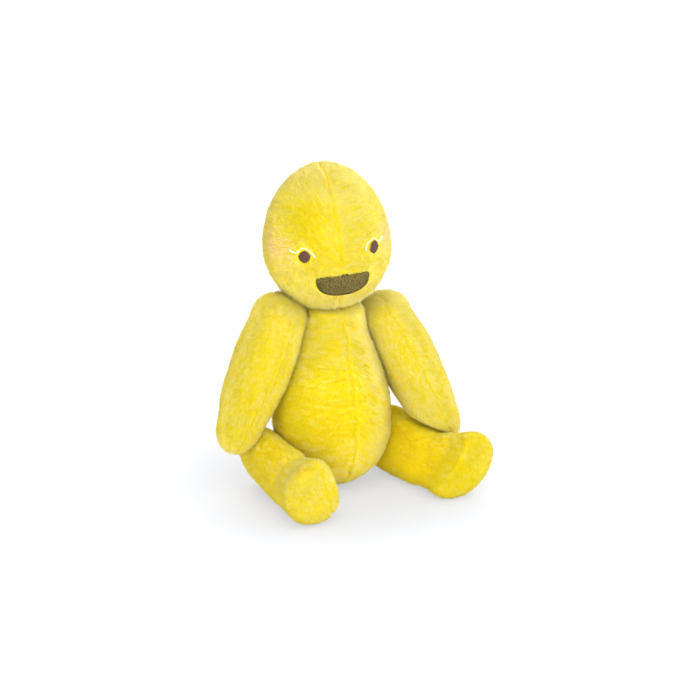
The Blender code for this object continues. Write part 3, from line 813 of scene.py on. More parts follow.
def groom_arm(at, centre, pale):
    groom = Groom(at)
    front = at.y > 0.0
    groom.comb = Z_AXIS * ARM_COMB
    groom.grain = limb_grain(at)
    # Painted light, a little brighter near the shoulder
    groom.lift = faded(ARM_PAINTED_LIGHT, at.z)
    groom.pale = pale + faded(ARM_TIP_PALE, at.z) + faded(ARM_TOP_PALE, at.z)
    distance = at.x - centre - wander(at.z, ARM_SEAM_ROWS[front])
    groom.seam(distance, lay=LIMB_SEAM_LAY, share=ARM_SEAM_SHARE)
    top = smooth_step(*SHOULDER_TOP, at.z)
    groom.comb += Vector(SHOULDER_COMB) * top
    groom.pile *= 1.0 + SHOULDER_LONGER * LONG_PILE * top
    return groom


def groom_leg(at, centre, shift, pale):
    groom = Groom(at)
    sole = past_sole(at)
    crease = past_ring(at, *ankle())
    creased = bump(crease, CREASE_HALF_WIDTH)
    foot = smooth_step(*FOOT_START, crease)
    toe = smooth_step(*TOE_START, sole)
    groom.comb = Vector(LEG_COMB) * (1.0 - toe) + Vector(TOE_COMB) * toe
    groom.grain = limb_grain(at)
    groom.pale = pale + FOOT_PALE * foot + faded(INSTEP_PALE, at.y) * foot
    upper = CREASE_UNDER + (1.0 - CREASE_UNDER) * smooth_step(*LEG_UPPER, at.y)
    groom.sink += CREASE_DEPTH * creased * upper
    groom.pile *= 1.0 - CREASE_SHORT * creased
    groom.pale += TOE_RIM_PALE * bump(sole, TOE_RIM_REACH)
    # Painted light over the whole leg but the toe
    groom.lift = 1.0 - smooth_step(*TOE_WITHOUT_PAINTED_LIGHT, sole)
    middle = centre + shift * toe + wander(at.y + at.z, LEG_SEAM_ROW)
    under = LEG_SEAM_UNDER * smooth_step(*LEG_UNDER, at.y)
    groom.seam(at.x - middle, LEG_SEAM_TUFT, LIMB_SEAM_LAY, max(toe, under))
    return groom


def groom_at(part, at):
    if part is HEAD:
        return groom_head(at)
    if part is BODY:
        return groom_body(at)
    if part in ARMS:
        share = min(max(at.z / (ARM_LENGTH - ARM_TIP_CAP), 0.0), 1.0)
        drift = blend_rows(ARM_SHARES, share)[1] * ARM_POSES[part.side][2]
        return groom_arm(at, part.shift + drift, ARM_PALE[part.side])
    return groom_leg(at, part.shift, TOE_SEAM_SHIFT * HANDS[part.side], LEG_PALE[part.side])


def held(part, co):
    """The point moved back to the part's own side of its planes, rounded off where they are soft."""
    for place, normal, softness in part.planes:
        short = -(co - place).dot(normal)
        if softness:
            co = co + normal * softness * math.log1p(math.exp(min(short / softness, EXPONENT_LIMIT)))
        elif short > 0.0:
            co = co + normal * short
    return co


def past_sole(at):
    """How far a point of a leg lies in front of the ring where its toe starts."""
    return past_ring(at, LEG_LENGTH - SOLE_CAP, LEG_LENGTH * LEG_SHARES[-1][1], math.radians(SOLE_LEAN))


def round_rim(bm, part):
    """Rounds the edge where a leg's side turns into its toe, and swells it back to its size."""
    rim = [vert for vert in bm.verts if abs(past_sole(part.to_local @ vert.co)) < RIM_REACH]
    for _ in range(RIM_ROUNDS):
        bmesh.ops.smooth_vert(
            bm, verts=rim, factor=RIM_SMOOTHING, use_axis_x=True, use_axis_y=True, use_axis_z=True,
        )
    bm.normal_update()
    for vert in rim:
        vert.co += vert.normal * RIM_SWELL * bump(past_sole(part.to_local @ vert.co), RIM_REACH / 2)


def skin(part):
    """The shaped skin of a part and how the pile lies at each of its vertices."""
    bm = part.blank(SKIN_INSET)
    bm.normal_update()
    grooms = []
    for vert in bm.verts:
        local = part.to_local @ vert.co
        groom = groom_at(part, local)
        lump = LUMP_DEPTH * noise.noise(local / LUMP_LENGTH + Vector((0, 0, len(part.name))))
        vert.co = vert.co - vert.normal * (groom.sink + max(lump, -LUMP_SWELL))
        grooms.append(groom)
    if part in LEGS:
        round_rim(bm, part)
    for vert in bm.verts:
        vert.co = held(part, vert.co)
    bm.normal_update()
    return bm, grooms


def pressed(trees, part, co):
    """The pile's share of its length where another part lies near."""
    nearest = NEIGHBOUR_REACH
    for other, tree in trees.items():
        if other is not part:
            distance = tree.find_nearest(co, NEIGHBOUR_REACH)[3]
            if distance is not None:
                nearest = min(nearest, distance)
    share = smooth_step(NEIGHBOUR_NEAR, NEIGHBOUR_REACH, nearest)
    return PRESSED_PILE + (1.0 - PRESSED_PILE) * share


def mesh_object(name, bm):
    mesh = bpy.data.meshes.new(name)
    bm.to_mesh(mesh)
    bm.free()
    mesh.shade_smooth()
    made = bpy.data.objects.new(name, mesh)
    bpy.context.scene.collection.objects.link(made)
    return made


def add_attribute(mesh, name, kind, values):
    field = mesh.attributes.new(name, kind, "POINT")
    key = "vector" if kind == "FLOAT_VECTOR" else "value"
    flat = [number for value in values for number in value] if key == "vector" else values
    field.data.foreach_set(key, flat)


def strand_share(groom, press, height):
    """The share of their length that strands have at a vertex, shorter over the floor."""
    share = groom.pile * press
    if height > FLOOR_PILE:
        return share
    return share * (PRESSED_PILE + height / FLOOR_PILE * (1 - PRESSED_PILE))


def strand_density(share):
    """The share of the strands that grow where they have this share of their length."""
    if share <= BARE_PILE:
        return 0.0
    return smooth_step(BARE_PILE, FULL_PILE, share) * (1.0 - THIN_DENSITY) + THIN_DENSITY


def write_groom(made, part, grooms, trees):
    """The attributes that the pile's nodes read from a skin, with its painted shade and painted light."""
    mesh = made.data
    turned = part.to_world.to_3x3()
    way = Vector(PAINTED_LIGHT_WAY).normalized()
    combs, lengths, pales, painted_lights = [], [], [], []
    for vert, groom in zip(mesh.vertices, grooms):
        comb = turned @ groom.comb
        comb -= vert.normal * comb.dot(vert.normal)
        combs.append(comb)
        press = pressed(trees, part, vert.co)
        lengths.append(strand_share(groom, press, vert.co.z))
        # Painted shade: pile that another part lies near is painted darker
        pales.append(groom.pale - PRESSED_PAINTED_SHADE * (1.0 - press))
        # Painted light: brighter where the skin faces away from the camera and the front lamps
        painted_lights.append(max(groom.lift, PAINTED_LIGHT_EDGE * smooth_step(*PAINTED_LIGHT_FACING, vert.normal.dot(way))))
    add_attribute(mesh, "root", "FLOAT_VECTOR", [vert.normal.copy() for vert in mesh.vertices])
    add_attribute(mesh, "comb", "FLOAT_VECTOR", combs)
    add_attribute(mesh, "grain", "FLOAT_VECTOR", [groom.grain for groom in grooms])
    add_attribute(mesh, "pile", "FLOAT", lengths)
    add_attribute(mesh, "density", "FLOAT", [strand_density(share) for share in lengths])
    add_attribute(mesh, "pale", "FLOAT", pales)
    add_attribute(mesh, "lift", "FLOAT", painted_lights)
    add_attribute(mesh, "blush", "FLOAT", [groom.blush for groom in grooms])
    add_attribute(mesh, "clump", "FLOAT", [groom.clump for groom in grooms])


def linear(colour):
    """A linear colour from 0 to 255 sRGB numbers."""
    def one(value):
        share = value / 255.0
        return share / 12.92 if share <= 0.04045 else ((share + 0.055) / 1.055) ** 2.4
    return (*(one(value) for value in colour), 1.0)


def add_sockets(tree, way, **kinds):
    """The named inputs or outputs of a node group."""
    for name, kind in kinds.items():
        tree.interface.new_socket(name, in_out=way, socket_type="NodeSocket" + kind)


class Nodes:
    """A short way to add nodes to a tree and link them."""

    def __init__(self, tree):
        self.tree = tree

    def add(self, kind, options=None, **inputs):
        """A node with its options and inputs. An input is named, or numbered as in i0."""
        node = self.tree.nodes.new(kind)
        for key, value in (options or {}).items():
            setattr(node, key, value)
        for key, value in inputs.items():
            numbered = key[0] == "i" and key[1:].isdigit()
            self.feed(node.inputs[int(key[1:]) if numbered else key], value)
        return node

    def feed(self, socket, value):
        if isinstance(value, bpy.types.NodeSocket):
            self.tree.links.new(value, socket)
        else:
            socket.default_value = value

    def math(self, operation, a, b=0.0, c=0.0):
        return self.add("ShaderNodeMath", {"operation": operation}, i0=a, i1=b, i2=c).outputs[0]

    def vector(self, operation, a, b=(0.0, 0.0, 0.0), scale=None):
        node = self.add("ShaderNodeVectorMath", {"operation": operation}, i0=a)
        if scale is None:
            self.feed(node.inputs[1], b)
        else:
            self.feed(node.inputs["Scale"], scale)
        return node.outputs["Vector"]

    def mix(self, share, a, b):
        return self.add("ShaderNodeMix", {"data_type": "RGBA"}, i0=share, i6=a, i7=b).outputs[2]

    def ramp(self, value, stops):
        node = self.add("ShaderNodeValToRGB", None, Fac=value)
        ramp = node.color_ramp
        for k, (place, colour) in enumerate(stops):
            stop = ramp.elements[k] if k < 2 else ramp.elements.new(place)
            stop.position = place
            stop.color = linear(colour)
        return node.outputs["Color"]


class PileNodes(Nodes):
    """The nodes that read a skin's attributes, draw for each strand, pull it and store its values."""

    def named(self, name, kind="FLOAT"):
        node = self.add("GeometryNodeInputNamedAttribute", {"data_type": kind}, Name=name)
        return node.outputs["Attribute"]

    def chance(self, low, high, seed):
        node = self.add("FunctionNodeRandomValue", {"data_type": "FLOAT"})
        given = {"Min": low, "Max": high, "Seed": seed}
        for socket in node.inputs:
            if socket.enabled and socket.name in given:
                self.feed(socket, given[socket.name])
        return next(socket for socket in node.outputs if socket.enabled)

    def pull(self, scale, strength):
        """A pull to one side by noise over the tufts, and the noise itself."""
        grain = self.named("grain", "FLOAT_VECTOR")
        options = {"noise_dimensions": "3D"}
        texture = self.add("ShaderNodeTexNoise", options, Vector=grain, Scale=scale, Detail=1.0)
        centred = self.vector("SUBTRACT", texture.outputs["Color"], (0.5, 0.5, 0.5))
        strength = self.math("MULTIPLY", self.named("clump"), 2.0 * strength)
        return self.vector("SCALE", centred, scale=strength), texture.outputs[0]

    def store(self, geometry, name, value, kind="FLOAT", domain="POINT"):
        return self.add(
            "GeometryNodeStoreNamedAttribute", {"data_type": kind, "domain": domain},
            Geometry=geometry, Name=name, Value=value,
        ).outputs[0]


def strand_way(n):
    """The way that each strand points, with the noise of its tuft and of its patch."""
    clump, tuft = n.pull(1.0, CLUMP_PULL)
    swirl, patch = n.pull(SWIRL_SCALE, SWIRL_PULL)
    least, most = (-STRAY_PULL,) * 3, (STRAY_PULL,) * 3
    stray = n.add("FunctionNodeRandomValue", {"data_type": "FLOAT_VECTOR"}, i0=least, i1=most)
    way = n.vector("ADD", n.named("root", "FLOAT_VECTOR"), n.named("comb", "FLOAT_VECTOR"))
    for pull in (clump, swirl, stray.outputs[0]):
        way = n.vector("ADD", way, pull)
    return n.vector("NORMALIZE", way), tuft, patch


def strand_shade(n, tuft, patch):
    """Each strand's place on the colour chart: a shade at one of the levels, which are painted brighter as
    painted light, or the blush.
    """
    tone = n.math("MULTIPLY", n.math("SUBTRACT", tuft, 0.5), TUFT_TONE)
    tone = n.math("ADD", tone, n.math("MULTIPLY", n.math("SUBTRACT", patch, 0.5), PATCH_TONE))
    tone = n.math("ADD", tone, n.chance(-STRAND_TONE, STRAND_TONE, TONE_SEED))
    shade = n.add("ShaderNodeClamp", None, Value=n.math("ADD", n.named("pale"), tone)).outputs[0]
    # Painted light: the chance that a strand takes a brighter level follows the skin's painted light
    level = n.math("MULTIPLY", n.named("lift"), CHART_LEVELS)
    level = n.math("FLOOR", n.math("ADD", level, n.chance(0.0, LEVEL_DRAW, LEVEL_SEED)))
    level = n.math("MULTIPLY", n.math("MINIMUM", level, CHART_LEVELS), CHART_PAINTED_LIGHT_STEP)
    plain = n.math("ADD", n.math("MULTIPLY", shade, CHART_SPAN), level)
    blushed = n.math("LESS_THAN", n.chance(0.0, 1.0, BLUSH_SEED), n.named("blush"))
    return n.math("ADD", plain, n.math("MULTIPLY", blushed, n.math("SUBTRACT", CHART_BLUSH, plain)))


def strand_map(n, strands):
    """The strands with their place on the chart as a texture map, and with normals near the skin's."""
    place = n.math("ADD", n.named("chart"), n.math("MULTIPLY", n.named("side"), CHART_STEP))
    place = n.add("ShaderNodeCombineXYZ", None, X=n.named("tip"), Y=place).outputs[0]
    mapped = n.store(strands, "OFBake", place, "FLOAT2", "CORNER")
    own = n.add("GeometryNodeInputNormal").outputs[0]
    root = n.vector("SCALE", n.named("root", "FLOAT_VECTOR"), scale=ROOT_NORMAL_SHARE)
    shaded = n.add("GeometryNodeSetMeshNormal", {"mode": "FREE", "domain": "POINT"}, Mesh=mapped)
    n.feed(shaded.inputs["Custom Normal"], n.vector("NORMALIZE", n.vector("ADD", own, root)))
    return shaded.outputs[0]


def pile_tree(strand, finish):
    """Scatters strands over a skin, laid by its comb and gathered into tufts by noise."""
    tree = bpy.data.node_groups.new("pile", "GeometryNodeTree")
    add_sockets(tree, "INPUT", Geometry="Geometry", Seed="Int")
    add_sockets(tree, "OUTPUT", Geometry="Geometry")
    n = PileNodes(tree)
    given = n.add("NodeGroupInput")
    per_area = STRANDS_PER_AREA * 1.0
    spread = n.add(
        "GeometryNodeDistributePointsOnFaces", {"distribute_method": "RANDOM"},
        Mesh=given.outputs["Geometry"], Density=n.math("MULTIPLY", n.named("density"), per_area),
        Seed=given.outputs["Seed"],
    )
    way, tuft, patch = strand_way(n)
    points = n.store(spread.outputs["Points"], "chart", strand_shade(n, tuft, patch))
    shortest, longest = (PILE_LENGTH * share for share in LENGTH_SHARES)
    length = n.math("MULTIPLY", n.named("pile"), n.chance(shortest, longest, LENGTH_SEED))
    planted = n.add(
        "GeometryNodeInstanceOnPoints", None, Points=points,
        Instance=n.add("GeometryNodeObjectInfo", None, Object=strand).outputs["Geometry"],
        Rotation=n.add("FunctionNodeAlignRotationToVector", {"axis": "Z"}, Vector=way).outputs[0],
        Scale=n.add("ShaderNodeCombineXYZ", None, X=STRAND_RADIUS, Y=STRAND_RADIUS, Z=length).outputs[0],
    )
    real = n.add("GeometryNodeRealizeInstances", None, Geometry=planted.outputs[0])
    shaded = strand_map(n, real.outputs[0])
    kept = n.add("GeometryNodeSetMaterial", None, Geometry=shaded, Material=finish).outputs[0]
    for name in (*GROOM_FIELDS, "chart", "tip", "side"):
        kept = n.add("GeometryNodeRemoveAttribute", None, Geometry=kept, Name=name).outputs[0]
    n.add("NodeGroupOutput", None, i0=kept)
    return tree


def strand_object():
    """One tapered strand of pile, a unit long, that only the pile's nodes use."""
    bm = bmesh.new()
    bmesh.ops.create_cone(bm, cap_ends=False, segments=STRAND_SIDES, radius1=1.0, radius2=0.0, depth=1.0)
    bmesh.ops.translate(bm, verts=bm.verts[:], vec=Z_AXIS / 2)
    bmesh.ops.remove_doubles(bm, verts=bm.verts[:], dist=STRAND_MERGE)
    tips = [1.0 if vert.co.z > 0.5 else 0.0 for vert in bm.verts]
    sides = [0.0 if tip else round(vert.co.y) for tip, vert in zip(tips, bm.verts)]
    made = mesh_object("strand_source", bm)
    add_attribute(made.data, "tip", "FLOAT", tips)
    add_attribute(made.data, "side", "FLOAT", sides)
    made.hide_render = True
    return made


def panel(bm, part, keep):
    """A copy of part of a skin: the faces whose middle passes the test."""
    piece = bm.copy()
    others = [face for face in piece.faces if not keep(part.to_local @ face.calc_center_median())]
    bmesh.ops.delete(piece, geom=others, context="FACES")
    return piece


def shares_of(part):
    """The shares of a part's skin that carry a piece of pile each, as tests of a place."""
    if part in ARMS or part in LEGS:
        return {"inner": lambda at: at.x < part.shift, "outer": lambda at: at.x >= part.shift}
    return {
        "front_left": lambda at: at.y < 0.0 and at.x >= 0.0,
        "front_right": lambda at: at.y < 0.0 and at.x < 0.0,
        "back_left": lambda at: at.y >= 0.0 and at.x >= 0.0,
        "back_right": lambda at: at.y >= 0.0 and at.x < 0.0,
    }


def pile_pieces(part, dressed, tree, seed):
    """The part's pile, as a few plain meshes of strands."""
    bm = bmesh.new()
    bm.from_mesh(dressed.data)
    seed_socket = next(item for item in tree.interface.items_tree if item.name == "Seed")
    for k, (place, keep) in enumerate(shares_of(part).items()):
        name = f"{part.name}_pile_{place}"
        source = mesh_object(name + "_source", panel(bm, part, keep))
        grow = source.modifiers.new("pile", "NODES")
        grow.node_group = tree
        grow[seed_socket.identifier] = seed + k
        made = baked_copy(name, source)
        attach(made, part.body)
    bm.free()


def baked_copy(name, source):
    """A plain mesh of what an object's modifiers make. The source is removed."""
    graph = bpy.context.evaluated_depsgraph_get()
    mesh = bpy.data.meshes.new_from_object(source.evaluated_get(graph), depsgraph=graph)
    mesh.name = name
    made = bpy.data.objects.new(name, mesh)
    bpy.context.scene.collection.objects.link(made)
    bpy.data.objects.remove(source)
    return made


def dress():
    """The six skins and their pile."""
    strand = strand_object()
    tree = pile_tree(strand, PILE)
    skins = {part: skin(part) for part in PARTS}
    trees = {part: BVHTree.FromBMesh(bm) for part, (bm, _) in skins.items()}
    for number, (part, (bm, grooms)) in enumerate(skins.items()):
        made = mesh_object(part.name + "_skin", bm)
        write_groom(made, part, grooms, trees)
        pile_pieces(part, made, tree, SEED_STEP * number)
        for name in GROOM_FIELDS:
            made.data.attributes.remove(made.data.attributes[name])
        made.data.materials.append(BACKING)
        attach(made, part.body)
        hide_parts(*COVERS[part.name])


def shader_tree(name):
    """A new material, its nodes and its shader."""
    made = bpy.data.materials.new(name)
    made.use_nodes = True
    return made, Nodes(made.node_tree), made.node_tree.nodes["Principled BSDF"]


def pile_material():
    """Each strand is dark at its root and pale at its tip. Its chart place is its own shade, at a level
    painted brighter as painted light.
    """
    made, n, shader = shader_tree("plush_pile")
    chart = n.add("ShaderNodeUVMap", {"uv_map": "OFBake"}).outputs[0]
    parts = n.add("ShaderNodeSeparateXYZ", None, Vector=chart)
    along = n.math("POWER", parts.outputs["X"], TIP_POWER)
    root = n.ramp(parts.outputs["Y"], PILE_ROOT_STOPS)
    tip = n.ramp(parts.outputs["Y"], PILE_TIP_STOPS)
    n.feed(shader.inputs["Base Color"], n.mix(along, root, tip))
    shader.inputs["Roughness"].default_value = PILE_ROUGHNESS
    shader.inputs["Specular IOR Level"].default_value = PILE_SPECULAR
    shader.inputs["Sheen Weight"].default_value = SHEEN_WEIGHT
    shader.inputs["Sheen Tint"].default_value = linear(SHEEN_TINT)
    shader.inputs["Sheen Roughness"].default_value = SHEEN_ROUGHNESS
    return made


def mottle_tree():
    """A group for every finish but the pile: a colour that drifts with noise, and that noise as height."""
    tree = bpy.data.node_groups.new("mottle", "ShaderNodeTree")
    add_sockets(tree, "INPUT", Place="Vector", Scale="Float", Detail="Float", Dark="Color", Light="Color")
    add_sockets(tree, "OUTPUT", Colour="Color", Height="Float")
    n = Nodes(tree)
    given = n.add("NodeGroupInput").outputs
    texture = n.add(
        "ShaderNodeTexNoise", None, Vector=given["Place"], Scale=given["Scale"], Detail=given["Detail"],
    )
    drift = n.add("ShaderNodeMapRange", None, Value=texture.outputs[0])
    n.feed(drift.inputs["From Min"], MOTTLE_DARK)
    n.feed(drift.inputs["From Max"], MOTTLE_LIGHT)
    colour = n.mix(drift.outputs[0], given["Dark"], given["Light"])
    n.add("NodeGroupOutput", None, Colour=colour, Height=texture.outputs[0])
    return tree


def mottled(name, dark, light, scale, roughness, bump_height=0.0, detail=4.0, painted_shade=None):
    """A material whose colour drifts between two, and to a third, a painted shade, where its rim attribute
    marks it.
    """
    made, n, shader = shader_tree(name)
    place = n.add("ShaderNodeTexCoord").outputs["Object"]
    mottle = n.add(
        "ShaderNodeGroup", {"node_tree": MOTTLE}, Place=place, Scale=scale, Detail=detail,
        Dark=linear(dark), Light=linear(light),
    )
    colour = mottle.outputs["Colour"]
    if painted_shade:
        # Painted shade, from the rim attribute
        rim = n.add("ShaderNodeAttribute", {"attribute_name": "rim"}).outputs["Fac"]
        colour = n.mix(rim, colour, linear(painted_shade))
    n.feed(shader.inputs["Base Color"], colour)
    if bump_height:
        height = mottle.outputs["Height"]
        raised = n.add("ShaderNodeBump", None, Height=height, Distance=bump_height, Strength=BUMP_STRENGTH)
        n.feed(shader.inputs["Normal"], raised.outputs[0])
    shader.inputs["Roughness"].default_value = roughness
    shader.inputs["Specular IOR Level"].default_value = MATT_SPECULAR
    return made


MOTTLE = mottle_tree()
PILE = pile_material()
BACKING = mottled("plush_backing", (230, 202, 2), (238, 212, 14), 900.0, 0.9)
FELT = mottled("olive_felt_wool", (58, 53, 22), (114, 99, 52), 1100.0, 0.95, 0.0004, 6.0, FELT_PAINTED_SHADE)
EYE_THREAD = mottled("brown_thread_floss", (62, 38, 34), (104, 72, 62), 2500.0, 0.55, 0.0001)
LASH_THREAD = mottled("white_thread_floss", (226, 218, 196), (250, 246, 230), 2500.0, 0.6, 0.0001)
STUFFING = mottled("polyester_fibre", (222, 222, 216), (250, 250, 246), 500.0, 1.0, 0.0006)
PELLET_BAG = mottled("pellet_bag_weave", (206, 203, 190), (228, 226, 214), 900.0, 0.9, 0.0004)
PLASTIC = mottled("joint_plastic_white", (218, 218, 212), (232, 232, 228), 120.0, 0.45, 0.00003)


def on_head(local):
    return HEAD.place @ local


def bill_painted_shade(x, z, reach):
    """How dark the felt is painted: painted shade along the rim below its top, and painted shadow in the
    slit over the lip.
    """
    rim = BILL_RIM_PAINTED_SHADE * smooth_step(BILL_RIM_SHARE, 1.0, reach) * smooth_step(BILL_RISE, -BILL_RISE, z)
    return max(rim, bump(oval_reach(x, z, BILL_SLIT), 1.0))


def face_pad(name, edge, middle, start, thickness, crown, rough, shade_painter=None):
    """A pad that lies on the face, with its rim, its crown and a little roughness, and, where given, each
    vertex's painted shade as its rim attribute.
    """
    painted_shade = []
    bm = bmesh.new()
    bmesh.ops.create_uvsphere(bm, u_segments=PAD_SIDES, v_segments=PAD_RINGS, radius=1.0)
    for vert in bm.verts:
        reach = min(math.hypot(vert.co.x, vert.co.y), 1.0)
        x, z = edge(math.atan2(vert.co.y, vert.co.x))
        level = (1.0 + math.copysign(math.sqrt(abs(vert.co.z)), vert.co.z)) / 2
        out = start + level * (thickness + crown * max(vert.co.z, 0.0))
        local = on_face(middle[0] + x * reach, middle[1] + z * reach, out)
        local += noise.noise_vector(local / FELT_GRAIN) * rough
        vert.co = on_head(local)
        painted_shade.append(shade_painter(x * reach, z * reach, reach) if shade_painter else 0.0)
    if bm.calc_volume(signed=True) < 0.0:
        bmesh.ops.reverse_faces(bm, faces=bm.faces[:])
    made = mesh_object(name, bm)
    if shade_painter:
        add_attribute(made.data, "rim", "FLOAT", painted_shade)
    return made


def stitches(name, lines, radius, finish):
    """Threads along short lines of points, as one curve object."""
    route = bpy.data.curves.new(name, "CURVE")
    route.dimensions = "3D"
    route.bevel_depth = radius
    route.bevel_resolution = THREAD_BEVEL
    route.use_fill_caps = True
    for points in lines:
        line = route.splines.new("POLY")
        line.points.add(len(points) - 1)
        for k, point in enumerate(points):
            middle = math.sin(math.pi * k / (len(points) - 1)) ** 0.5
            line.points[k].co = (*point, 1.0)
            line.points[k].radius = THREAD_END + (1.0 - THREAD_END) * middle
        line.use_smooth = True
    route.materials.append(finish)
    made = bpy.data.objects.new(name, route)
    bpy.context.scene.collection.objects.link(made)
    return made


def eye_pad_edge(angle):
    """The rim of the pad under an eye's threads, from its middle."""
    across, rise = EYE_HALF_WIDTH * EYE_PAD_SHARE, EYE_HALF_HEIGHT * EYE_PAD_SHARE
    return across * math.cos(angle), rise * math.sin(angle)


def eye_thread(hand, k):
    """The points of one thread of an eye, from side to side over the pad."""
    rise = 2 * (k + 0.5) / EYE_THREADS - 1.0
    ragged = 1.0 + THREAD_RAGGED * noise.noise(Vector((k * RAGGED_STEP, hand * RAGGED_ROW, 0.0)))
    half = EYE_HALF_WIDTH * math.sqrt(1.0 - rise * rise) * ragged
    points = []
    for step in range(THREAD_STEPS + 1):
        across = 2 * step / THREAD_STEPS - 1.0
        height = EYE_HEIGHT + EYE_HALF_HEIGHT * (rise * EYE_THREADS_TALL + THREAD_SLANT * across)
        fall = (1.0 - CROWN_ENDS * across * across) * (1.0 - CROWN_OUTER * rise * rise)
        out = EYE_THICKNESS * THREAD_LEVEL + THREAD_CROWN * math.sqrt(fall)
        place = on_face(hand * EYE_SIDE + half * across, height, out)
        points.append(on_head(place))
    return points


def eye(side):
    """A satin-stitched oval: threads laid side by side over a low pad."""
    hand = HANDS[side]
    middle = (hand * EYE_SIDE, EYE_HEIGHT)
    pad = face_pad(
        f"eye_{side}_pad", eye_pad_edge, middle, CAD_GAP, EYE_THICKNESS * EYE_PAD_LEVEL, 0.0, 0.0,
    )
    pad.data.materials.append(EYE_THREAD)
    lines = [eye_thread(hand, k) for k in range(EYE_THREADS)]
    threads = stitches(f"eye_{side}_threads", lines, THREAD_RADIUS, EYE_THREAD)
    for piece in (pad, threads):
        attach(piece, "head")
    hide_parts("eye_" + side)


def lash_stitch(hand, k):
    """The points of one short stitch along the line of a lash."""
    points = []
    for step in range(THREAD_STEPS + 1):
        along = k - LASH_OVERLAP + step / THREAD_STEPS * (1.0 + 2 * LASH_OVERLAP)
        across, rise = blend_rows(LASH_SHARES, min(max(along / LASH_STITCHES, 0.0), 1.0))
        arch = LASH_ARCH * math.sin(math.pi * step / THREAD_STEPS)
        x = hand * (EYE_SIDE - across * EYE_HALF_WIDTH)
        place = on_face(x, EYE_HEIGHT + rise * EYE_HALF_HEIGHT, LASH_LIFT + arch)
        place += noise.noise_vector(place / LASH_WOBBLE_LENGTH) * LASH_WOBBLE
        points.append(on_head(place))
    return points


def lash_line(side):
    """The white stitches over an eye, each a little over the next."""
    lines = [lash_stitch(HANDS[side], k) for k in range(LASH_STITCHES)]
    lash = stitches(f"lash_{side}_stitches", lines, LASH_RADIUS, LASH_THREAD)
    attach(lash, "head")
    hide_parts("lash_" + side)


def bill():
    """Two layers of felt: the lower one shows as a lip under the upper one."""
    middle = (0.0, BILL_HEIGHT)
    lower = face_pad(
        "lower_bill_felt", lambda angle: bill_edge(angle, 0.0), middle, CAD_GAP,
        BILL_FELT, 0.0, FELT_ROUGH, bill_painted_shade,
    )
    upper = face_pad(
        "upper_bill_felt", lambda angle: bill_edge(angle, BILL_LIP), middle, 2 * CAD_GAP + BILL_FELT,
        BILL_FELT, BILL_CROWN, FELT_ROUGH, bill_painted_shade,
    )
    for piece, node in ((lower, "lower_bill"), (upper, "upper_bill")):
        piece.data.materials.append(FELT)
        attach(piece, "head")
        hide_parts(node)


def filling(node, body, finish):
    """A filling, as a lumpy copy just inside the place that it fills."""
    bm = bmesh.new()
    bm.from_mesh(CAD_OBJECTS[node].data)
    bmesh.ops.triangulate(bm, faces=bm.faces[:])
    bmesh.ops.subdivide_edges(bm, edges=bm.edges[:], cuts=1, use_grid_fill=True)
    bm.normal_update()
    for vert in bm.verts:
        lump = 0.5 + 0.5 * noise.noise(vert.co / FILLING_LENGTH)
        vert.co -= vert.normal * (FILLING_SHRINK + FILLING_LUMP * lump)
    made = mesh_object(node + "_fill", bm)
    made.data.materials.clear()
    made.data.materials.append(finish)
    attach(made, body)
    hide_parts(node)


def plastics():
    """The joints' discs, washers and locks keep their own meshes."""
    for name, made in CAD_OBJECTS.items():
        if name.endswith(("_disc", "_washer", "_lock")):
            made.material_slots[0].material = PLASTIC


def white_floor():
    """A floor that keeps its shadows and glows for the camera alone, whiter further out."""
    bm = bmesh.new()
    bmesh.ops.create_grid(bm, x_segments=1, y_segments=1, size=FLOOR_SIZE)
    floor = mesh_object("floor", bm)
    made, n, shader = shader_tree("white_floor")
    seen = n.add("ShaderNodeLightPath").outputs["Is Camera Ray"]
    shade = n.math("SUBTRACT", FLOOR_BOUNCE, n.math("MULTIPLY", seen, FLOOR_BOUNCE - FLOOR_SEEN))
    grey = n.add("ShaderNodeCombineXYZ", None, X=shade, Y=shade, Z=shade).outputs[0]
    place = n.add("ShaderNodeTexCoord").outputs["Object"]
    spread = n.add("ShaderNodeVectorMath", {"operation": "LENGTH"}, i0=place).outputs["Value"]
    glow = n.add("ShaderNodeMapRange", {"interpolation_type": "SMOOTHSTEP"}, Value=spread)
    near, far = FLOOR_GLOW_REACH
    ends = {"From Min": near, "From Max": far, "To Min": FLOOR_GLOW_NEAR, "To Max": FLOOR_GLOW_FAR}
    for name, value in ends.items():
        n.feed(glow.inputs[name], value)
    n.feed(shader.inputs["Base Color"], grey)
    n.feed(shader.inputs["Emission Strength"], n.math("MULTIPLY", seen, glow.outputs[0]))
    shader.inputs["Emission Color"].default_value = (*FLOOR_GLOW_COLOUR, 1.0)
    shader.inputs["Roughness"].default_value = 1.0
    shader.inputs["Specular IOR Level"].default_value = 0.0
    floor.data.materials.append(made)


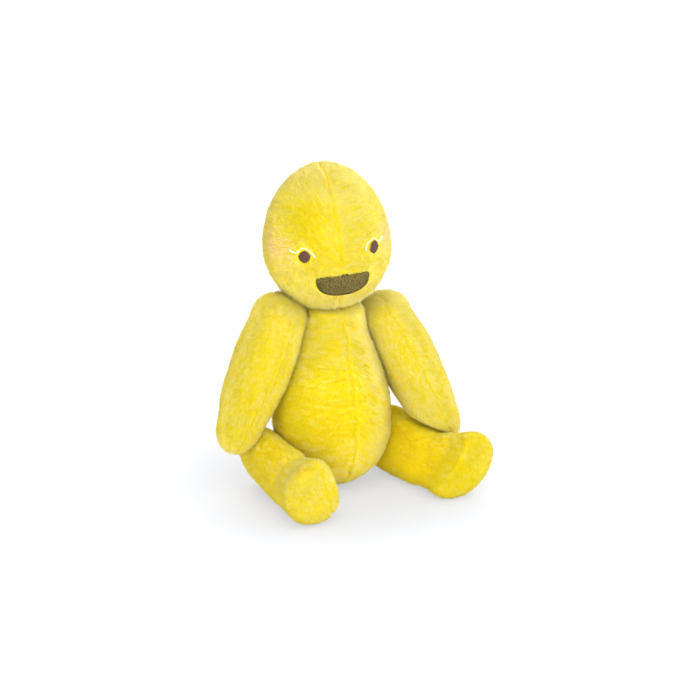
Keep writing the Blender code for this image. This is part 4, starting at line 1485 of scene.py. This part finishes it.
def surroundings():
    """An even light from all round, which the camera sees as white."""
    world = bpy.data.worlds.new("studio")
    world.use_nodes = True
    bpy.context.scene.world = world
    n = Nodes(world.node_tree)
    path = n.add("ShaderNodeLightPath")
    seen = path.outputs["Is Camera Ray"]
    for ray in ("Is Glossy Ray", "Is Transmission Ray"):
        seen = n.math("MAXIMUM", seen, path.outputs[ray])
    back = world.node_tree.nodes["Background"]
    back.inputs["Color"].default_value = (1.0, 1.0, 1.0, 1.0)
    n.feed(back.inputs["Strength"], n.math("ADD", WORLD_LEVEL, n.math("MULTIPLY", seen, 1.0 - WORLD_LEVEL)))


def lamps():
    """Broad, soft lamps that all look at the duck's middle."""
    for name, place, size, power in LAMPS:
        lamp = bpy.data.lights.new(name, "AREA")
        lamp.shape = "DISK"
        lamp.size = size
        lamp.energy = power
        made = bpy.data.objects.new(name, lamp)
        made.location = place
        made.rotation_euler = (Vector(AIM) - Vector(place)).to_track_quat("-Z", "Y").to_euler()
        bpy.context.scene.collection.objects.link(made)


def camera():
    """The photograph's view: the pixel of the origin and the size of a pixel at the origin."""
    azimuth, height = math.radians(CAMERA_AZIMUTH), math.radians(CAMERA_HEIGHT_ANGLE)
    level = math.cos(height)
    back = Vector((math.sin(azimuth) * level, -math.cos(azimuth) * level, math.sin(height)))
    right = Vector((math.cos(azimuth), math.sin(azimuth), 0.0))
    up = back.cross(right)
    middle = IMAGE_SIDE / 2
    target = right * (middle - ORIGIN_PIXEL[0]) * PIXEL + up * (ORIGIN_PIXEL[1] - middle) * PIXEL
    lens = bpy.data.cameras.new("photo view")
    lens.sensor_width = SENSOR_MM
    lens.lens = CAMERA_DISTANCE / PIXEL * SENSOR_MM / IMAGE_SIDE
    made = bpy.data.objects.new("photo view", lens)
    turned = Matrix((right, up, back)).transposed().to_4x4()
    made.matrix_world = Matrix.Translation(target + back * CAMERA_DISTANCE) @ turned
    bpy.context.scene.collection.objects.link(made)
    bpy.context.scene.camera = made
    bpy.context.scene.view_settings.view_transform = "Standard"


noise.seed_set(NOISE_SEED)
add_planes()
dress()
for eye_side in HANDS:
    eye(eye_side)
    lash_line(eye_side)
bill()
filling("body_stuffing", "torso", STUFFING)
filling("seat_pellet_bag", "torso", PELLET_BAG)
for stuffed in (HEAD, *ARMS, *LEGS):
    filling(stuffed.name + "_stuffing", stuffed.body, STUFFING)
plastics()
white_floor()
surroundings()
lamps()
camera()
